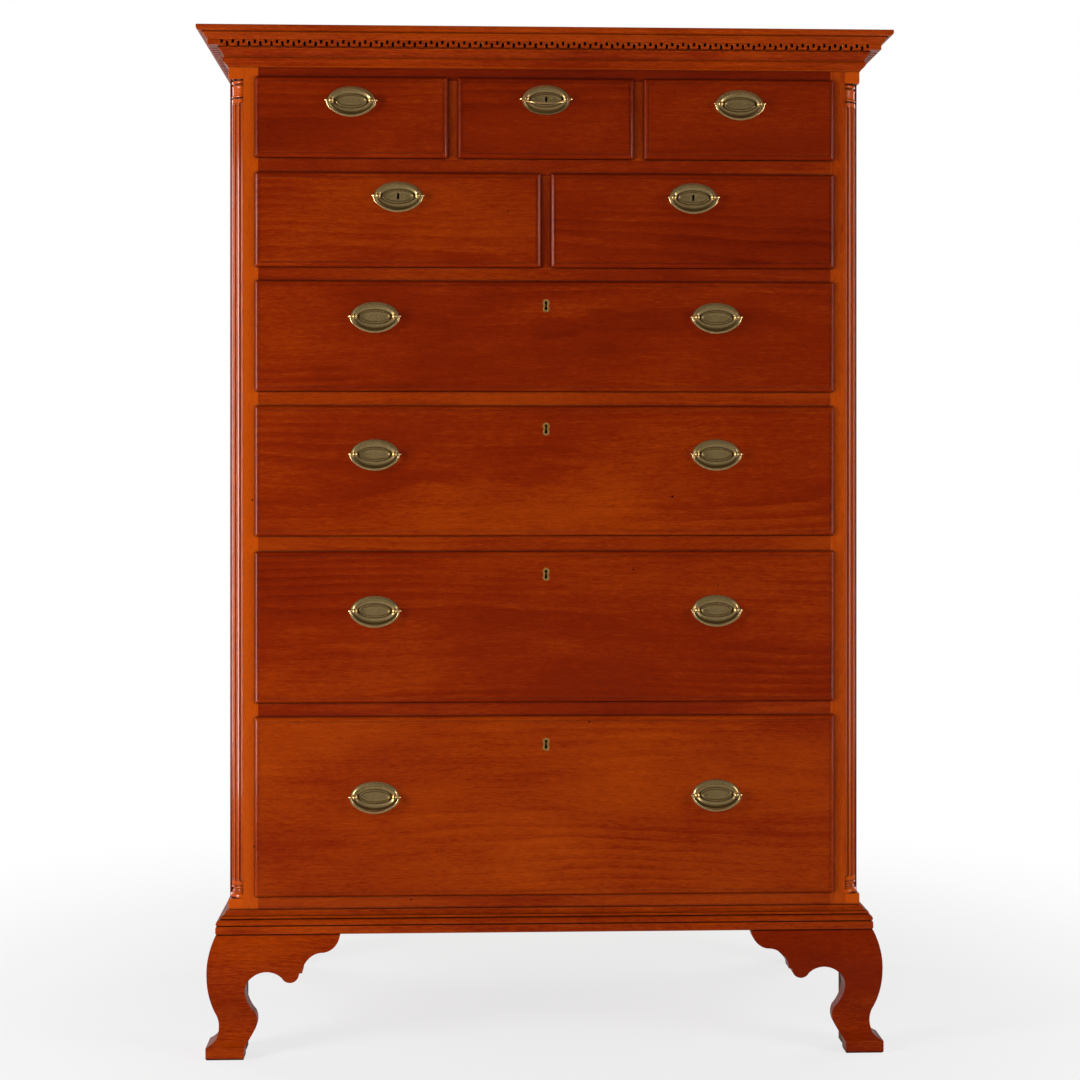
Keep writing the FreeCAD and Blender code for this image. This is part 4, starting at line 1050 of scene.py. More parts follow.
class CHEST_OT_mouldings(PieceOperator, bpy.types.Operator):
    """Planes the crown, bed and base mouldings, mitred round the front corners"""

    bl_idname = "chest.mouldings"
    bl_label = "Mouldings"

    def make(self, sizes, finish):
        self.mitred("crown_moulding", "cornice_mouldings", *self.crown(sizes), sizes)
        self.mitred("bed_moulding", "cornice_mouldings", *self.bed(sizes), sizes, -0.14)
        self.mitred("base_moulding", "base_moulding", *self.base(), sizes, -0.10)

    def crown(self, sizes):
        """Square edge, ovolo, fillet and hollow, over the dentil course."""
        out = CORNICE_OUT
        spread = CORNICE_OUT - DENTIL_OUT
        high = CASE_TOP
        unit = CASE_TOP - DENTIL_HIGH
        steps = [
            ((0, high),),
            ((out - 1.4 * MM, high),),
            ((out - 0.4 * MM, high - 0.4 * MM), (out, high - 1.4 * MM)),
            ((out, high - 0.24 * unit),),
            ((out - 0.08 * spread, high - 0.37 * unit), (out - 0.30 * spread, high - 0.44 * unit)),
            ((out - 0.50 * spread, high - 0.46 * unit),),
            ((out - 0.46 * spread, high - 0.52 * unit),),
            ((out - 0.50 * spread, high - 0.61 * unit),),
            ((out - 0.68 * spread, high - 0.64 * unit),),
            ((out - 0.82 * spread, high - 0.84 * unit), (DENTIL_OUT + 0.5 * MM, DENTIL_HIGH)),
            ((sizes.bed_out, DENTIL_HIGH),),
            ((sizes.bed_out, DENTIL_LOW),),
        ]
        return (0, DENTIL_LOW), steps

    def bed(self, sizes):
        """Fillet, cove, bead and bevel, down to the frieze."""
        out = sizes.bed_out
        high = DENTIL_LOW
        drop = DENTIL_LOW - CORNICE_FOOT
        steps = [
            ((0, high),),
            ((out, high),),
            ((out, high - 0.08 * drop),),
            ((0.68 * out, high - 0.24 * drop), (0.44 * out, high - 0.51 * drop)),
            ((0.60 * out, high - 0.57 * drop),),
            ((0.57 * out, high - 0.70 * drop), (0.41 * out, high - 0.80 * drop)),
            ((0.08 * out, high - 0.95 * drop),),
            ((0.08 * out, CORNICE_FOOT),),
        ]
        return (0, CORNICE_FOOT), steps

    def base(self):
        """Hollow, fillet and ovolo over a flat band."""
        out = BASE_OUT
        unit = BASE_TOP - FOOT_TOP
        steps = [
            ((0, BASE_TOP),),
            ((0.22 * out, BASE_TOP),),
            ((0.30 * out, FOOT_TOP + 0.86 * unit), (0.50 * out, FOOT_TOP + 0.80 * unit)),
            ((0.46 * out, FOOT_TOP + 0.775 * unit),),
            ((0.66 * out, FOOT_TOP + 0.76 * unit),),
            ((0.70 * out, FOOT_TOP + 0.69 * unit),),
            ((0.58 * out, FOOT_TOP + 0.655 * unit),),
            ((0.72 * out, FOOT_TOP + 0.635 * unit),),
            ((0.92 * out, FOOT_TOP + 0.56 * unit), (0.97 * out, FOOT_TOP + 0.42 * unit)),
            ((0.84 * out, FOOT_TOP + 0.37 * unit),),
            ((0.97 * out, FOOT_TOP + 0.345 * unit),),
            ((out, FOOT_TOP + 0.28 * unit),),
            ((out, FOOT_TOP + 0.05 * unit),),
            ((out - 1.8 * MM, FOOT_TOP),),
        ]
        return (0, FOOT_TOP), steps

    def mitred(self, name, node, start, steps, sizes, tone=0.0):
        """Front, left and right lengths of a moulding, drawn out beyond the mitres and sawn to them."""
        reach = 100 * MM
        section = outline(start, steps)
        points = [Vector((-HALF_WIDTH - reach, CASE_FRONT - out, z)) for out, z in section]
        front = drawn_out(name + "_front", points, (2 * (HALF_WIDTH + reach), 0, 0))
        for side in (-1, 1):
            sawn((side * HALF_WIDTH, CASE_FRONT, 0), (side, 1, 0))
        points = [Vector((HALF_WIDTH + out, CASE_FRONT - reach, z)) for out, z in section]
        right = drawn_out(name + "_right", points, (0, CASE_BACK - CASE_FRONT + reach, 0))
        sawn((HALF_WIDTH, CASE_FRONT, 0), (-1, -1, 0))
        left = mirror_copy(take(right), name + "_left")
        for piece, grain in ((front, ALONG_X), (left, ALONG_Y), (right, ALONG_Y)):
            eased(coated(piece, "moulding_walnut", "rubbed_walnut"), sizes.fine_arris)
            fitted(lay_grain(piece, grain, tone), "case", node)


class CHEST_OT_dentil_band(PieceOperator, bpy.types.Operator):
    """Cuts the slotted dentil strips under the crown moulding"""

    bl_idname = "chest.dentil_band"
    bl_label = "Dentil Band"

    def make(self, sizes, finish):
        reach = HALF_WIDTH + DENTIL_OUT
        depth = DENTIL_OUT - sizes.bed_out
        spans = (-reach, reach, sizes.dentil_corner - reach, reach - sizes.dentil_corner)
        front = self.strip("dentils_front", 0, spans, CASE_FRONT - DENTIL_OUT, (0, depth, 0), sizes)
        start = CASE_FRONT - sizes.bed_out
        first = CASE_FRONT + sizes.dentil_corner - DENTIL_OUT
        spans = (start, CASE_BACK, first, CASE_BACK - sizes.dentil_corner)
        right = self.strip("dentils_right", 1, spans, HALF_WIDTH + DENTIL_OUT, (-depth, 0, 0), sizes)
        left = mirror_copy(right, "dentils_left")
        for piece, grain in ((front, ALONG_X), (left, ALONG_Y), (right, ALONG_Y)):
            eased(coated(piece, "moulding_walnut", "sawn_walnut", "rubbed_walnut"), 0.25 * MM, 1)
            fitted(lay_grain(piece, grain, -0.05), "case", "dentil_band")

    def strip(self, name, axis, spans, face, inward, sizes):
        """One strip, slotted from above and from below by turns. Axis is 0 for X and 1 for Y."""
        start, end, first, last = spans
        count = round((last - first) / sizes.dentil_pitch)
        pitch = (last - first) / count
        half = sizes.dentil_slot / 2
        floor = DENTIL_HIGH - sizes.dentil_slot_height
        roof = DENTIL_LOW + sizes.dentil_slot_height

        def place(along, z):
            return Vector((along, face, z)) if axis == 0 else Vector((face, along, z))

        corners = [(start, DENTIL_LOW), (end, DENTIL_LOW), (end, DENTIL_HIGH), (start, DENTIL_HIGH)]
        piece = flat_shape(name, [place(*corner) for corner in corners])
        on_bench(piece)
        across = place(1, 0) - place(0, 0)
        cuts = [(place(start, floor), (0, 0, 1)), (place(start, roof), (0, 0, 1))]
        for number in range(2 * count + 1):
            at = first + number * pitch / 2
            cuts += [(place(at - half, 0), across), (place(at + half, 0), across)]
        for where, direction in cuts:
            bpy.ops.mesh.select_all(action="SELECT")
            bpy.ops.mesh.bisect(plane_co=where, plane_no=direction)

        def in_slot(cell):
            middle_of = cell.calc_center_median()
            steps = (middle_of[axis] - first) / (pitch / 2)
            number = round(steps)
            if abs(steps - number) * pitch / 2 > half or not 0 <= number <= 2 * count:
                return False
            return middle_of.z > floor if number % 2 == 0 else middle_of.z < roof

        pick(in_slot)
        bpy.ops.mesh.delete(type="FACE")
        bpy.ops.mesh.select_all(action="SELECT")
        pull(inward)
        outward()
        bpy.ops.mesh.dissolve_limited(angle_limit=math.radians(1))
        take(piece)
        for wall in piece.data.polygons:
            if first - pitch < wall.center[axis] < last + pitch and abs(wall.normal[1 - axis]) < 0.05:
                wall.material_index = 1
        return piece


class CHEST_OT_bracket_feet(PieceOperator, bpy.types.Operator):
    """Shapes the ogee bracket feet"""

    bl_idname = "chest.bracket_feet"
    bl_label = "Bracket Feet"

    def make(self, sizes, finish):
        pieces = self.front_foot(sizes) + self.rear_foot(sizes)
        for piece, grain in pieces:
            self.mark_sawn(piece, 1 if grain is ALONG_X else 0)
            left = mirror_copy(piece, piece.name.replace("right", "left"))
            # The right foot is toned darker than the left one: painted shade, as the light falls from the
            # left.
            for side, tone in ((piece, -0.26), (left, -0.06)):
                eased(coated(side, "moulding_walnut", "sawn_walnut", "rubbed_walnut"), sizes.arris)
                fitted(lay_grain(side, grain, tone), "case", "bracket_feet", 28)

    def mark_sawn(self, piece, axis):
        """Gives the edges sawn across a bracket, square to its face, the second finish."""
        for face in piece.data.polygons:
            if abs(face.normal[axis]) < 0.05:
                face.material_index = 1

    def ogee(self, sizes):
        """Section of a foot as (out, height): toe, ankle and belly."""
        toe = TOE_OUT
        ankle = 13.5 * MM
        ankle_height = 47.0 * MM
        belly = 30.9 * MM
        belly_height = 131.0 * MM
        pad = sizes.toe_height
        inner = toe - sizes.foot_stock
        steps = [
            ((toe - 3.5 * MM, 0),),
            ((toe - 0.8 * MM, 1.6 * MM), (toe, 4.5 * MM)),
            ((toe, pad),),
            ((ankle + 8.1 * MM, pad + 6.0 * MM), (ankle + 3.9 * MM, pad + 10.0 * MM)),
            ((ankle, ankle_height), (ankle + 5.1 * MM, ankle_height + 24.0 * MM)),
            ((belly - 3.4 * MM, belly_height - 31.0 * MM), (belly, belly_height)),
            ((belly - 2.5 * MM, belly_height + 32.0 * MM), (BASE_OUT, FOOT_TOP - 1.4 * MM)),
            ((BASE_OUT - 2.0 * MM, FOOT_TOP),),
            ((inner, FOOT_TOP),),
        ]
        return outline((inner, 0), steps, 10)

    def scroll(self, sizes, far):
        """Sawn edge of a bracket as (distance in from the corner of the case, height)."""
        tip = sizes.bracket_length
        top = FOOT_TOP
        steps = [
            ((tip - 9.6 * MM, top - 19.9 * MM), (tip - 25.0 * MM, top - 27.1 * MM)),
            ((tip - 49.0 * MM, top - 36.1 * MM), (tip - 59.0 * MM, top - 58.5 * MM)),
            ((tip - 64.0 * MM, top - 58.5 * MM),),
            ((100.5 * MM, 120.8 * MM), (87.3 * MM, 128.8 * MM)),
            ((64.8 * MM, 138.4 * MM), (40.6 * MM, 130.2 * MM)),
            ((31.5 * MM, 119.0 * MM), (29.4 * MM, 103.9 * MM)),
            ((34.4 * MM, 87.0 * MM), (44.5 * MM, 71.6 * MM)),
            ((47.3 * MM, 61.0 * MM), (42.9 * MM, 42.7 * MM)),
            ((36.8 * MM, 31.9 * MM), (29.0 * MM, sizes.toe_height)),
            ((27.0 * MM, -MM),),
            ((far, -MM),),
            ((far, top + MM),),
            ((tip, top + MM),),
        ]
        return outline((tip, top), steps, 10)

    def front_foot(self, sizes):
        """Front and side brackets of the right front foot, mitred at the corner."""
        reach = TOE_OUT + 10 * MM
        inner = sizes.foot_stock - TOE_OUT
        inward = HALF_WIDTH - sizes.bracket_length - MM
        corner = (HALF_WIDTH, CASE_FRONT, 0)
        points = [Vector((inward, CASE_FRONT - out, z)) for out, z in self.ogee(sizes)]
        front = drawn_out("right_front_foot_face", points, (sizes.bracket_length + MM + reach, 0, 0))
        sawn(corner, (1, 1, 0))
        scroll = [Vector((HALF_WIDTH - u, CASE_FRONT - reach, z)) for u, z in self.scroll(sizes, -reach)]
        pattern = take(drawn_out("pattern", scroll, (0, reach + inner + MM, 0)))
        cut_by(front, pattern, "INTERSECT")
        points = [Vector((HALF_WIDTH + out, CASE_FRONT - reach, z)) for out, z in self.ogee(sizes)]
        side = drawn_out("right_front_foot_side", points, (0, sizes.bracket_length + MM + reach, 0))
        sawn(corner, (-1, -1, 0))
        start = HALF_WIDTH - inner - MM
        scroll = [Vector((start, CASE_FRONT + u, z)) for u, z in self.scroll(sizes, -reach)]
        pattern = take(drawn_out("pattern", scroll, (reach + inner + MM, 0, 0)))
        cut_by(side, pattern, "INTERSECT")
        return [(front, ALONG_X), (side, ALONG_Y)]

    def rear_foot(self, sizes):
        """Side bracket of the right rear foot, and the plain board behind it."""
        reach = TOE_OUT + 10 * MM
        inner = sizes.foot_stock - TOE_OUT
        run = sizes.bracket_length + MM + TOE_OUT
        points = [Vector((HALF_WIDTH + out, CASE_BACK - run, z)) for out, z in self.ogee(sizes)]
        side = drawn_out("right_rear_foot_side", points, (0, run, 0))
        start = HALF_WIDTH - inner - MM
        heel = CASE_BACK - TOE_OUT
        scroll = [Vector((start, heel - u, z)) for u, z in self.scroll(sizes, -reach)]
        pattern = take(drawn_out("pattern", scroll, (reach + inner + MM, 0, 0)))
        cut_by(side, pattern, "INTERSECT")
        stock = 20.0 * MM
        edge = HALF_WIDTH - inner
        tip = HALF_WIDTH - 150.0 * MM
        toe = edge - 49.0 * MM
        steps = [
            ((toe + 26.0 * MM, 0),),
            ((toe + 20.0 * MM, 9.0 * MM), (toe, 26.0 * MM)),
            ((toe - 22.0 * MM, 0.5 * FOOT_TOP), (tip, FOOT_TOP - 32.0 * MM)),
            ((tip, FOOT_TOP),),
            ((edge, FOOT_TOP),),
        ]
        points = [Vector((x, CASE_BACK - stock, z)) for x, z in outline((edge, 0), steps, 14)]
        board = take(drawn_out("right_rear_foot_board", points, (0, stock, 0)))
        return [(side, ALONG_Y), (board, ALONG_X)]


class CHEST_OT_drawer_fronts(PieceOperator, bpy.types.Operator):
    """Dresses the nine lipped drawer fronts"""

    bl_idname = "chest.drawer_fronts"
    bl_label = "Drawer Fronts"

    def make(self, sizes, finish):
        tones = {
            "top_left": -0.08, "top_middle": -0.06, "top_right": -0.04,
            "second_left": 0.06, "second_right": -0.12, "third": -0.03,
            "fourth": 0.06, "fifth": 0.04, "bottom": 0.16,
        }
        for drawer, tone in tones.items():
            node = drawer + "_drawer_front"
            piece = coated(bench_copy(node, drawer + "_front"), "front_walnut", "rubbed_walnut")
            eased(piece, sizes.fine_arris)
            fitted(lay_grain(piece, ALONG_X, tone), drawer + "_drawer", node, 30)


class CHEST_OT_drawer_boxes(PieceOperator, bpy.types.Operator):
    """Makes the dovetailed sides, the back and the bottom of each drawer"""

    bl_idname = "chest.drawer_boxes"
    bl_label = "Drawer Boxes"

    def make(self, sizes, finish):
        for drawer in DRAWERS:
            node = drawer + "_drawer_box"
            low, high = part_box(node)
            bottom_top = low.z + sizes.bottom_lift + sizes.bottom_stock
            inside = (low.x + sizes.side_stock, high.x - sizes.side_stock)
            pieces = [
                (self.side(f"{drawer}_drawer_{name}_side", x, low.z, high, sizes), ALONG_Y)
                for name, x in (("left", low.x), ("right", inside[1]))
            ]
            back = block(
                drawer + "_drawer_back",
                (inside[0], high.y - sizes.back_stock, bottom_top),
                (inside[1], high.y, high.z),
            )
            bottom = block(
                drawer + "_drawer_bottom",
                (inside[0], BLOCK_BACK, bottom_top - sizes.bottom_stock),
                (inside[1], high.y, bottom_top),
            )
            for piece, grain in (*pieces, (back, ALONG_X), (bottom, ALONG_X_FLAT)):
                eased(coated(piece, "plain_poplar"), sizes.arris / 2, 1)
                fitted(lay_grain(piece, grain, 0.05), drawer + "_drawer", node)

    def side(self, name, x, foot, high, sizes):
        """A drawer's side, with tails drawn out of its front end."""
        piece = block(name, (x, BLOCK_BACK, foot), (x + sizes.side_stock, high.y, high.z))
        low = foot + sizes.bottom_lift + sizes.bottom_stock
        count = max(2, round((high.z - low) / sizes.dovetail_spacing))
        pitch = (high.z - low) / count
        slope = 0.18
        tail_share = 0.36
        flare = sizes.dovetail_length * slope
        half_root = pitch * tail_share - flare
        middles = [low + (number + 0.5) * pitch for number in range(count)]
        on_bench(piece)
        for z in middles:
            for edge in (z - half_root, z + half_root):
                bpy.ops.mesh.select_all(action="SELECT")
                bpy.ops.mesh.bisect(plane_co=(0, 0, edge), plane_no=(0, 0, 1))
        for z in middles:
            pick(lambda face: face.normal.y < -0.9 and abs(face.calc_center_median().z - z) < 0.0001)
            pull((0, -sizes.dovetail_length, 0))
            grow = (half_root + flare) / half_root
            bpy.ops.transform.resize(value=(1, 1, grow), center_override=(0, 0, z))
        return take(piece)


class CHEST_OT_pulls(PieceOperator, bpy.types.Operator):
    """Makes the oval pull plates with their ball-headed posts and nuts"""

    bl_idname = "chest.pulls"
    bl_label = "Pull Plates"

    def make(self, sizes, finish):
        plate = self.plate(sizes)
        keyed = self.keyed(plate)
        post = self.post(sizes)
        nut = self.nut()
        for bail, hinge in HINGES.items():
            drawer = bail.split("_drawer")[0]
            body = drawer + "_drawer"
            node = body + "_brasses"
            stem = bail.replace("_bail", "")
            face = Vector((hinge.x, DRAWER_FACE, hinge.z))
            model = keyed if drawer in BOSS_KEYED else plate
            fitted(copy_at(model, stem + "_plate", face), body, node, 40)
            for side, offset in (("left", -sizes.post_spacing / 2), ("right", sizes.post_spacing / 2)):
                place = face + Vector((offset, 0, 0))
                fitted(copy_at(post, f"{stem}_{side}_post", place), body, node, 40)
                fitted(copy_at(nut, f"{stem}_{side}_nut", place), body, node, 40)
        for model in (plate, keyed, post, nut):
            bpy.data.objects.remove(model)

    def plate(self, sizes):
        """Stamped oval: flat rim, swelling ring, hollow, and a dished boss in the middle.

        Rings and bands are in millimetres in from the rim, and the rings' second numbers are heights.
        """
        rings = [
            (0.0, 0.55), (0.35, 0.95), (1.0, 1.05), (1.45, 1.0), (1.75, 1.15), (2.3, 1.75), (3.0, 2.3),
            (3.9, 2.7), (5.0, 2.85), (6.0, 2.7), (7.0, 2.2), (8.0, 1.5), (9.0, 0.9), (10.0, 0.6),
            (11.2, 0.5), (12.2, 0.6), (12.6, 1.2), (12.9, 2.2), (13.3, 3.1), (13.9, 3.4), (14.6, 3.35),
            (15.2, 3.0), (15.9, 2.6), (17.2, 2.3), (19.0, 2.12), (21.0, 2.05),
        ]
        # Bands of darker brass: grime in the plate's hollows, and on the lower half a band that is the
        # painted shadow of the bail.
        grimed_and_shaded = ((0.9, 1.5), (11.0, 12.7), (14.0, 15.5))
        painted_bail_shadow = (1.7, 5.5)
        take(None)
        bpy.ops.mesh.primitive_circle_add(
            vertices=96, radius=1, fill_type="NGON", rotation=(math.pi / 2, 0, 0)
        )
        bpy.context.object.scale = (sizes.plate_half_width, sizes.plate_half_height, 1)
        piece = started("plate_model")
        on_bench(piece, whole=True)
        width, height, level = sizes.plate_half_width, sizes.plate_half_height, 0.0
        for inset, rise in rings:
            new_width = sizes.plate_half_width - inset * MM
            new_height = sizes.plate_half_height - inset * MM
            pull((0, level - rise * MM, 0))
            bpy.ops.transform.resize(
                value=(new_width / width, 1, new_height / height), center_override=(0, 0, 0)
            )
            width, height, level = new_width, new_height, rise * MM
        outward()
        coated(take(piece), "patinated_brass", "grimed_brass")
        for face in piece.data.polygons:
            x, _, z = face.center
            inset = max(
                (inset for inset, _ in rings if self.inside(x, z, sizes, inset * MM)), default=0.0
            )
            bands = (*grimed_and_shaded, painted_bail_shadow) if z < 0 else grimed_and_shaded
            if any(start < inset < end for start, end in bands):
                face.material_index = 1
        return piece

    def inside(self, x, z, sizes, inset):
        """Whether a place lies inside the plate's outline drawn smaller all round."""
        across, up = x / (sizes.plate_half_width - inset), z / (sizes.plate_half_height - inset)
        return across * across + up * up < 1

    def keyed(self, plate):
        """Plate with a keyhole through its boss."""
        piece = copy_at(plate, "keyed_plate_model", (0, 0, 0))
        half_width, half_height = 1.8 * MM, 5 * MM
        slot = block("slot", (-half_width, -6 * MM, -half_height), (half_width, MM, half_height))
        on_bench(slot)
        pick(lambda edge: abs(middle(edge).x) > MM and abs(middle(edge).z) > 4 * MM, "EDGE")
        bpy.ops.mesh.bevel(offset=1.2 * MM, segments=4)
        outward()
        cut_by(piece, take(slot))
        return piece

    def post(self, sizes):
        """Ball head, collar and shank, turned in one."""
        r = sizes.ball_radius
        standoff = 8.5 * MM
        collar_foot = 2.0 * MM
        tail = BLOCK_BACK - DRAWER_FACE + 6.0 * MM
        steps = [
            ((r * math.sin(1.1), -standoff - r * math.cos(1.1)), (r, -standoff)),
            ((r * math.sin(2.0), -standoff - r * math.cos(2.0)), (0.62 * r, -standoff + 0.785 * r)),
            ((0.66 * r, -3.9 * MM),),
            ((0.98 * r, -3.1 * MM), (0.98 * r, -collar_foot),),
            ((0.6 * r, -collar_foot),),
            ((0.6 * r, tail - 0.5 * MM),),
            ((0.48 * r, tail),),
            ((0, tail),),
        ]
        points = [Vector((out, y, 0)) for out, y in outline((0, -standoff - r), steps, 8)]
        piece = lathed("post_model", points, (0, 1, 0), 28)
        bpy.ops.mesh.delete_loose()
        return coated(take(piece), "patinated_brass")

    def nut(self):
        """Square nut on the inside of the drawer front."""
        back = BLOCK_BACK - DRAWER_FACE
        half, thick = 5 * MM, 3 * MM
        piece = block("nut_model", (-half, back, -half), (half, back + thick, half))
        on_bench(piece)
        pick(lambda face: face.normal.y > 0.9)
        bpy.ops.mesh.inset(thickness=1.2 * MM, depth=0.5 * MM)
        take(piece)
        return eased(coated(piece, "patinated_brass", "rubbed_brass"), 0.3 * MM)


class CHEST_OT_bails(PieceOperator, bpy.types.Operator):
    """Bends the bails and hangs them on their posts"""

    bl_idname = "chest.bails"
    bl_label = "Bails"

    def make(self, sizes, finish):
        model = self.bail(sizes)
        for node, hinge in HINGES.items():
            piece = copy_at(model, node + "_swing", (0, 0, 0))
            if node == RAISED_BAIL:
                piece.data.transform(Matrix.Rotation(-sizes.raised_angle, 4, "X"))
            piece.data.transform(Matrix.Translation(hinge))
            fitted(piece, node, node, 40)
        bpy.data.objects.remove(model)

    def bail(self, sizes):
        """Bow swept along two arcs, mirrored, with knuckles, pointed ears and hinge pins."""
        a = sizes.bail_half_width
        b = sizes.bail_drop
        bend = 16.0 * MM
        thick = sizes.bail_thickness / 2
        main = (a * a + b * b - 2 * a * bend) / (2 * (b - bend))
        sweep = math.atan2(a - bend, main - b)
        take(None)
        bpy.ops.mesh.primitive_circle_add(
            vertices=14, radius=thick, fill_type="NOTHING", rotation=(0, math.pi / 2, 0), location=(0, 0, -b)
        )
        piece = started("bail_model")
        on_bench(piece, whole=True)
        bpy.ops.mesh.spin(steps=22, angle=sweep, center=(0, 0, main - b), axis=(0, 1, 0))
        bpy.ops.mesh.spin(steps=14, angle=math.pi / 2 - sweep, center=(a - bend, 0, 0), axis=(0, 1, 0))
        shape = bmesh.from_edit_mesh(piece.data)
        flatness = 0.92
        thinning = 0.30
        for vertex in shape.verts:
            fullness = 1.0 - thinning * min(1.0, abs(vertex.co.x) / a) ** 1.5
            vertex.co.y *= fullness * flatness
        bmesh.update_edit_mesh(piece.data)
        take(piece)
        mirror = piece.modifiers.new("Other half", "MIRROR")
        mirror.merge_threshold = 0.00002
        bpy.ops.object.modifier_apply(modifier=mirror.name)
        on_bench(piece)
        bpy.ops.mesh.select_mode(type="EDGE")
        bpy.ops.mesh.select_all(action="SELECT")
        bpy.ops.mesh.region_to_loop()
        bpy.ops.mesh.fill_holes(sides=20)
        outward()
        take(piece)
        for side in (-1, 1):
            cut_by(piece, self.ear(sizes, side), "UNION")
        return coated(piece, "handled_brass")

    def ear(self, sizes, side):
        """Knuckle with a pointed ear outwards and a pin inwards."""
        a = sizes.bail_half_width
        knuckle = 2.1 * MM
        inner = sizes.post_spacing / 2 - sizes.ball_radius - 0.3 * MM
        pin = 1.4 * MM
        steps = [
            ((pin, -(a - inner)),),
            ((pin, -0.75 * knuckle),),
            ((knuckle, 0), (0.86 * knuckle, 0.5 * knuckle)),
            ((0.45 * knuckle, 1.3 * knuckle), (0.25 * MM, knuckle / 3 + 3.2 * MM)),
            ((0, knuckle / 3 + 3.3 * MM),),
        ]
        start = (0, -(a - inner))
        points = [Vector((side * (a + x), 0, out)) for out, x in outline(start, steps, 8)]
        return take(lathed("ear", points, (1, 0, 0), 16))


class CHEST_OT_locks(PieceOperator, bpy.types.Operator):
    """Makes the inlaid keyhole plates, the lock cases and the lock bolts"""

    bl_idname = "chest.locks"
    bl_label = "Locks"

    def make(self, sizes, finish):
        plate = self.keyhole_plate()
        for drawer, drop in INLAID_KEY_DROPS.items():
            low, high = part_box(drawer + "_drawer_front")
            place = Vector(((low.x + high.x) / 2, DRAWER_FACE, high.z - drop))
            body = drawer + "_drawer"
            fitted(copy_at(plate, drawer + "_keyhole_plate", place), body, body + "_brasses")
        bpy.data.objects.remove(plate)
        for drawer in list(INLAID_KEY_DROPS) + BOSS_KEYED:
            self.lock_case(drawer)
            node = drawer + "_drawer_lock_bolt"
            piece = eased(coated(bench_copy(node, drawer + "_bolt"), "black_iron"), 0.4 * MM)
            fitted(piece, node, node)

    def lock_case(self, drawer):
        """The lock: the one wide solid of the drawer's brasses that lies behind the case's face."""
        wide = 55 * MM
        node = drawer + "_drawer_brasses"
        parts = parted(bench_copy(node, "brasses"), "brasses")
        for part in parts:
            if part.dimensions.x > wide and centre(part).y > CASE_FRONT:
                part.name = drawer + "_lock_case"
                eased(coated(part, "black_iron"), 0.3 * MM)
                fitted(part, drawer + "_drawer", node)
            else:
                bpy.data.objects.remove(part)

    def keyhole_plate(self):
        """Small round-headed plate with a flared foot and its keyhole."""
        head, foot, tip = 4.2 * MM, 5.5 * MM, 10.35 * MM
        head_z, foot_z = 0.7 * MM, -6.0 * MM
        steps = [((0, tip), (head, head_z)), ((foot, foot_z),), ((0, -tip), (-foot, foot_z))]
        points = [Vector((x, 0, z)) for x, z in outline((-head, head_z), steps, 16)]
        piece = take(drawn_out("keyhole_plate_model", points, (0, 2.5 * MM, 0)))
        head, waist, foot = 1.9 * MM, 1.1 * MM, 2.3 * MM
        head_z, waist_z, foot_z = 3.8 * MM, 1.2 * MM, -5.0 * MM
        steps = [
            ((0, 7.3 * MM), (head, head_z)),
            ((waist, waist_z),),
            ((foot, foot_z),),
            ((0, -7.0 * MM), (-foot, foot_z)),
            ((-waist, waist_z),),
        ]
        points = [Vector((x, -MM, z)) for x, z in outline((-head, head_z), steps, 12)]
        cut_by(piece, take(drawn_out("hole", points, (0, 5 * MM, 0))))
        return eased(coated(piece, "inlaid_brass"), 0.25 * MM, 2, 50)


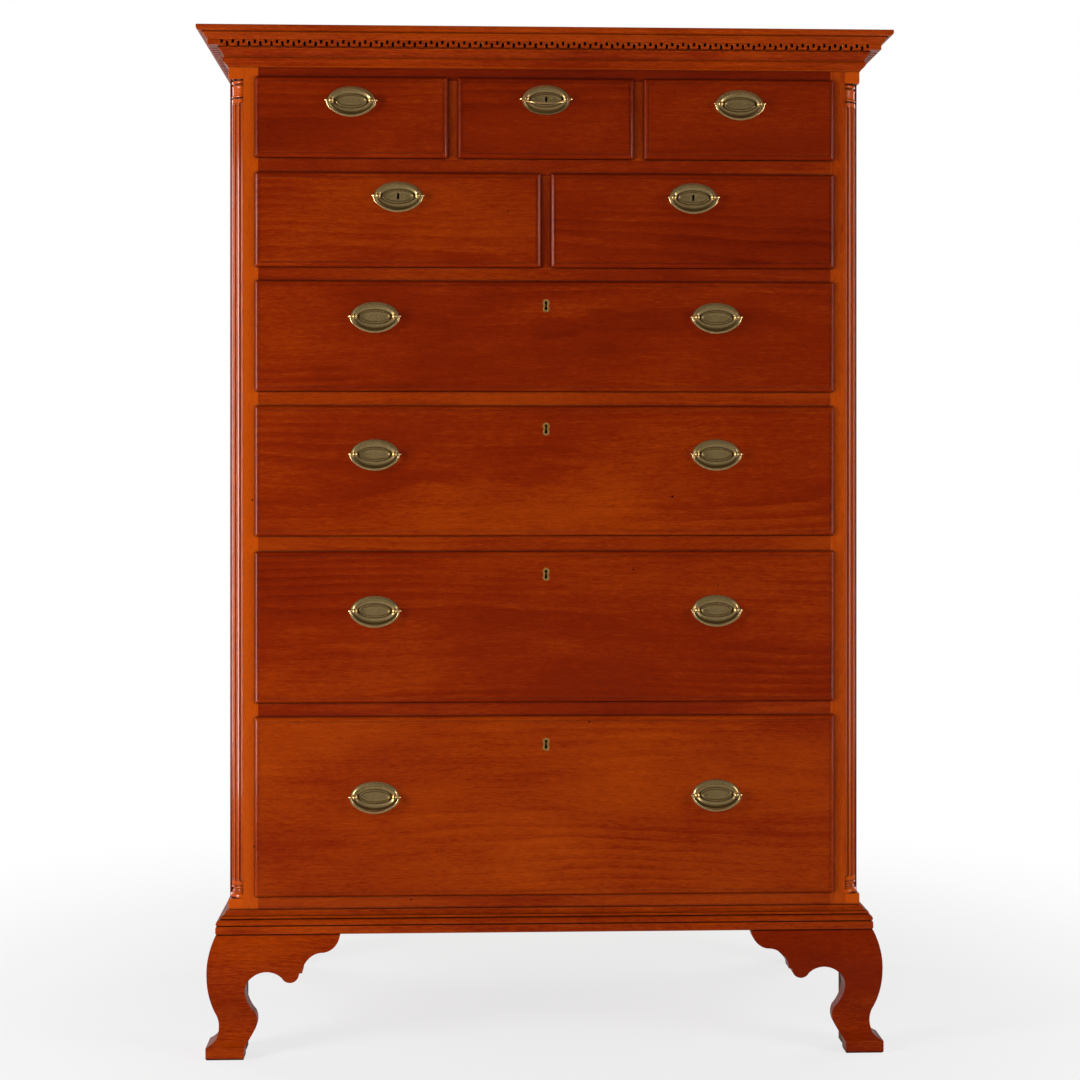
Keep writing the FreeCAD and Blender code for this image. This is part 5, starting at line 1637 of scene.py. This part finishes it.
class CHEST_OT_stage(bpy.types.Operator):
    """Sets up the floor, the world, the lamps and the camera"""

    bl_idname = "chest.stage"
    bl_label = "Stage"
    bl_options = {"REGISTER", "UNDO"}

    def execute(self, context):
        stage = context.scene.chest_stage
        self.floor(stage)
        self.world()
        aim = Vector((0, CASE_FRONT, 0.85))
        self.lamp("left_lamp", (-2.5, -1.7, 0.85), aim, 0.9, 1.9, stage.left_power)
        self.lamp("right_lamp", (2.5, -1.7, 1.0), aim, 0.9, 1.9, stage.right_power)
        self.lamp("left_rim_lamp", (-2.3, 1.5, 1.1), aim, 1.0, 2.0, stage.rim_power)
        self.lamp("right_rim_lamp", (2.3, 1.5, 1.1), aim, 1.0, 2.0, stage.rim_power)
        self.camera(stage)
        context.scene.view_settings.view_transform = "Standard"
        take(None)
        return {"FINISHED"}

    def floor(self, stage):
        take(None)
        bpy.ops.mesh.primitive_plane_add(size=30)
        floor = started("floor")
        bench, surface = new_material("floor_white")
        matt = {"Base Color": rgba(stage.floor_colour), "Roughness": 0.9, "Specular IOR Level": 0.0}
        bench.feed(surface.inputs, matt)
        glow = bench.add("ShaderNodeEmission", {"Color": rgba((1, 1, 1)), "Strength": 1.0})
        seen = self.seen_directly(bench)
        place = bench.add("ShaderNodeTexCoord").outputs["Object"]
        away = bench.vector("LENGTH", place).outputs["Value"]
        share_of = bench.math("MULTIPLY", seen, bench.spread(away, 0.5, 1.9, 0.74, 1.0))
        mixed = bench.add(
            "ShaderNodeMixShader", {0: share_of, 1: surface.outputs[0], 2: glow.outputs[0]}
        )
        dark = bench.add("ShaderNodeEmission", {"Color": rgba((0.02, 0.02, 0.02)), "Strength": 1.0})
        ahead = bench.add("ShaderNodeSeparateXYZ", {"Vector": place}).outputs["Y"]
        mirrored = bench.add("ShaderNodeLightPath").outputs["Is Glossy Ray"]
        unlit = bench.math("MULTIPLY", mirrored, bench.spread(ahead, -0.34, -0.20, 1.0, 0.75))
        mixed = bench.add("ShaderNodeMixShader", {0: unlit, 1: mixed.outputs[0], 2: dark.outputs[0]})
        target = next(n for n in bench.tree.nodes if n.type == "OUTPUT_MATERIAL")
        bench.feed(target.inputs, {"Surface": mixed.outputs[0]})
        coated(floor, "floor_white")

    def seen_directly(self, bench):
        """1 for what the camera sees straight, in a reflection or through glass."""
        path = bench.add("ShaderNodeLightPath").outputs
        seen = bench.math("MAXIMUM", path["Is Camera Ray"], path["Is Glossy Ray"])
        return bench.math("MAXIMUM", seen, path["Is Transmission Ray"])

    def world(self):
        """White to the camera, and in reflections grey behind and beside the chest and dark in front."""
        world = bpy.data.worlds.new("studio")
        bpy.context.scene.world = world
        world.use_nodes = True
        world.node_tree.nodes.clear()
        bench = NodeBench(world.node_tree)
        way = bench.add("ShaderNodeTexCoord").outputs["Generated"]
        parts = bench.add("ShaderNodeSeparateXYZ", {"Vector": way}).outputs
        behind = bench.spread(parts["Y"], -0.55, 0.0, 0.0, 1.0)
        level = bench.spread(bench.math("ABSOLUTE", parts["Z"]), 0.30, 0.75, 0.35, 0.08)
        level = bench.math("MULTIPLY", level, bench.spread(parts["X"], -0.3, 0.5, 1.0, 0.45))
        path = bench.add("ShaderNodeLightPath").outputs
        camera = path["Is Camera Ray"]
        mirrored = bench.math("MAXIMUM", path["Is Glossy Ray"], path["Is Transmission Ray"])
        strength = bench.math("MULTIPLY", mirrored, bench.math("MULTIPLY", behind, level))
        plain = bench.math("SUBTRACT", 1.0, bench.math("MAXIMUM", camera, mirrored))
        strength = bench.math("ADD", strength, camera)
        overhead = bench.spread(parts["Z"], 0.15, 0.75, 0.40, 0.10)
        strength = bench.math("MULTIPLY_ADD", plain, overhead, strength)
        light = bench.add("ShaderNodeBackground", {"Color": rgba((1, 1, 1)), "Strength": strength})
        bench.add("ShaderNodeOutputWorld", {"Surface": light.outputs[0]})

    def lamp(self, name, place, aim, width, height, power):
        take(None)
        bpy.ops.object.light_add(type="AREA", location=place)
        lamp = bpy.context.object
        lamp.name = name
        lamp.data.shape = "RECTANGLE"
        lamp.data.size = width
        lamp.data.size_y = height
        lamp.data.energy = power
        lamp.rotation_euler = (aim - Vector(place)).to_track_quat("-Z", "Y").to_euler()

    def camera(self, stage):
        take(None)
        place = (stage.camera_x, CASE_FRONT - stage.camera_distance, stage.camera_height)
        bpy.ops.object.camera_add(location=place, rotation=(math.pi / 2, 0, -stage.camera_turn))
        camera = bpy.context.object
        camera.name = "camera"
        camera.data.lens = stage.camera_lens
        camera.data.sensor_width = 36.0
        camera.data.shift_y = stage.camera_shift
        bpy.context.scene.camera = camera


OPERATORS = [
    CHEST_OT_finishes,
    CHEST_OT_case_boards,
    CHEST_OT_posts_and_rails,
    CHEST_OT_inside_timbers,
    CHEST_OT_quarter_columns,
    CHEST_OT_mouldings,
    CHEST_OT_dentil_band,
    CHEST_OT_bracket_feet,
    CHEST_OT_drawer_fronts,
    CHEST_OT_drawer_boxes,
    CHEST_OT_pulls,
    CHEST_OT_bails,
    CHEST_OT_locks,
    CHEST_OT_stage,
]


class CHEST_PT_panel(bpy.types.Panel):
    """Lists the chest's pieces and settings in the 3D view's sidebar"""

    bl_idname = "CHEST_PT_panel"
    bl_label = "Tall Chest of Drawers"
    bl_space_type = "VIEW_3D"
    bl_region_type = "UI"
    bl_category = "Tall Chest"

    def draw(self, context):
        layout = self.layout
        for operator in OPERATORS:
            layout.operator(operator.bl_idname)
        for group in (context.scene.chest_sizes, context.scene.chest_finish, context.scene.chest_stage):
            box = layout.box()
            for name in group.__annotations__:
                box.prop(group, name)


CLASSES = [ChestSizes, ChestFinish, ChestStage, *OPERATORS, CHEST_PT_panel]


def register():
    for cls in CLASSES:
        bpy.utils.register_class(cls)
    bpy.types.Scene.chest_sizes = PointerProperty(type=ChestSizes)
    bpy.types.Scene.chest_finish = PointerProperty(type=ChestFinish)
    bpy.types.Scene.chest_stage = PointerProperty(type=ChestStage)


def unregister():
    del bpy.types.Scene.chest_stage
    del bpy.types.Scene.chest_finish
    del bpy.types.Scene.chest_sizes
    for cls in reversed(CLASSES):
        bpy.utils.unregister_class(cls)


def main():
    register()
    for operator in OPERATORS:
        family, action = operator.bl_idname.split(".")
        getattr(getattr(bpy.ops, family), action)()
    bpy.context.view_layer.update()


if __name__ == "__main__":
    main()
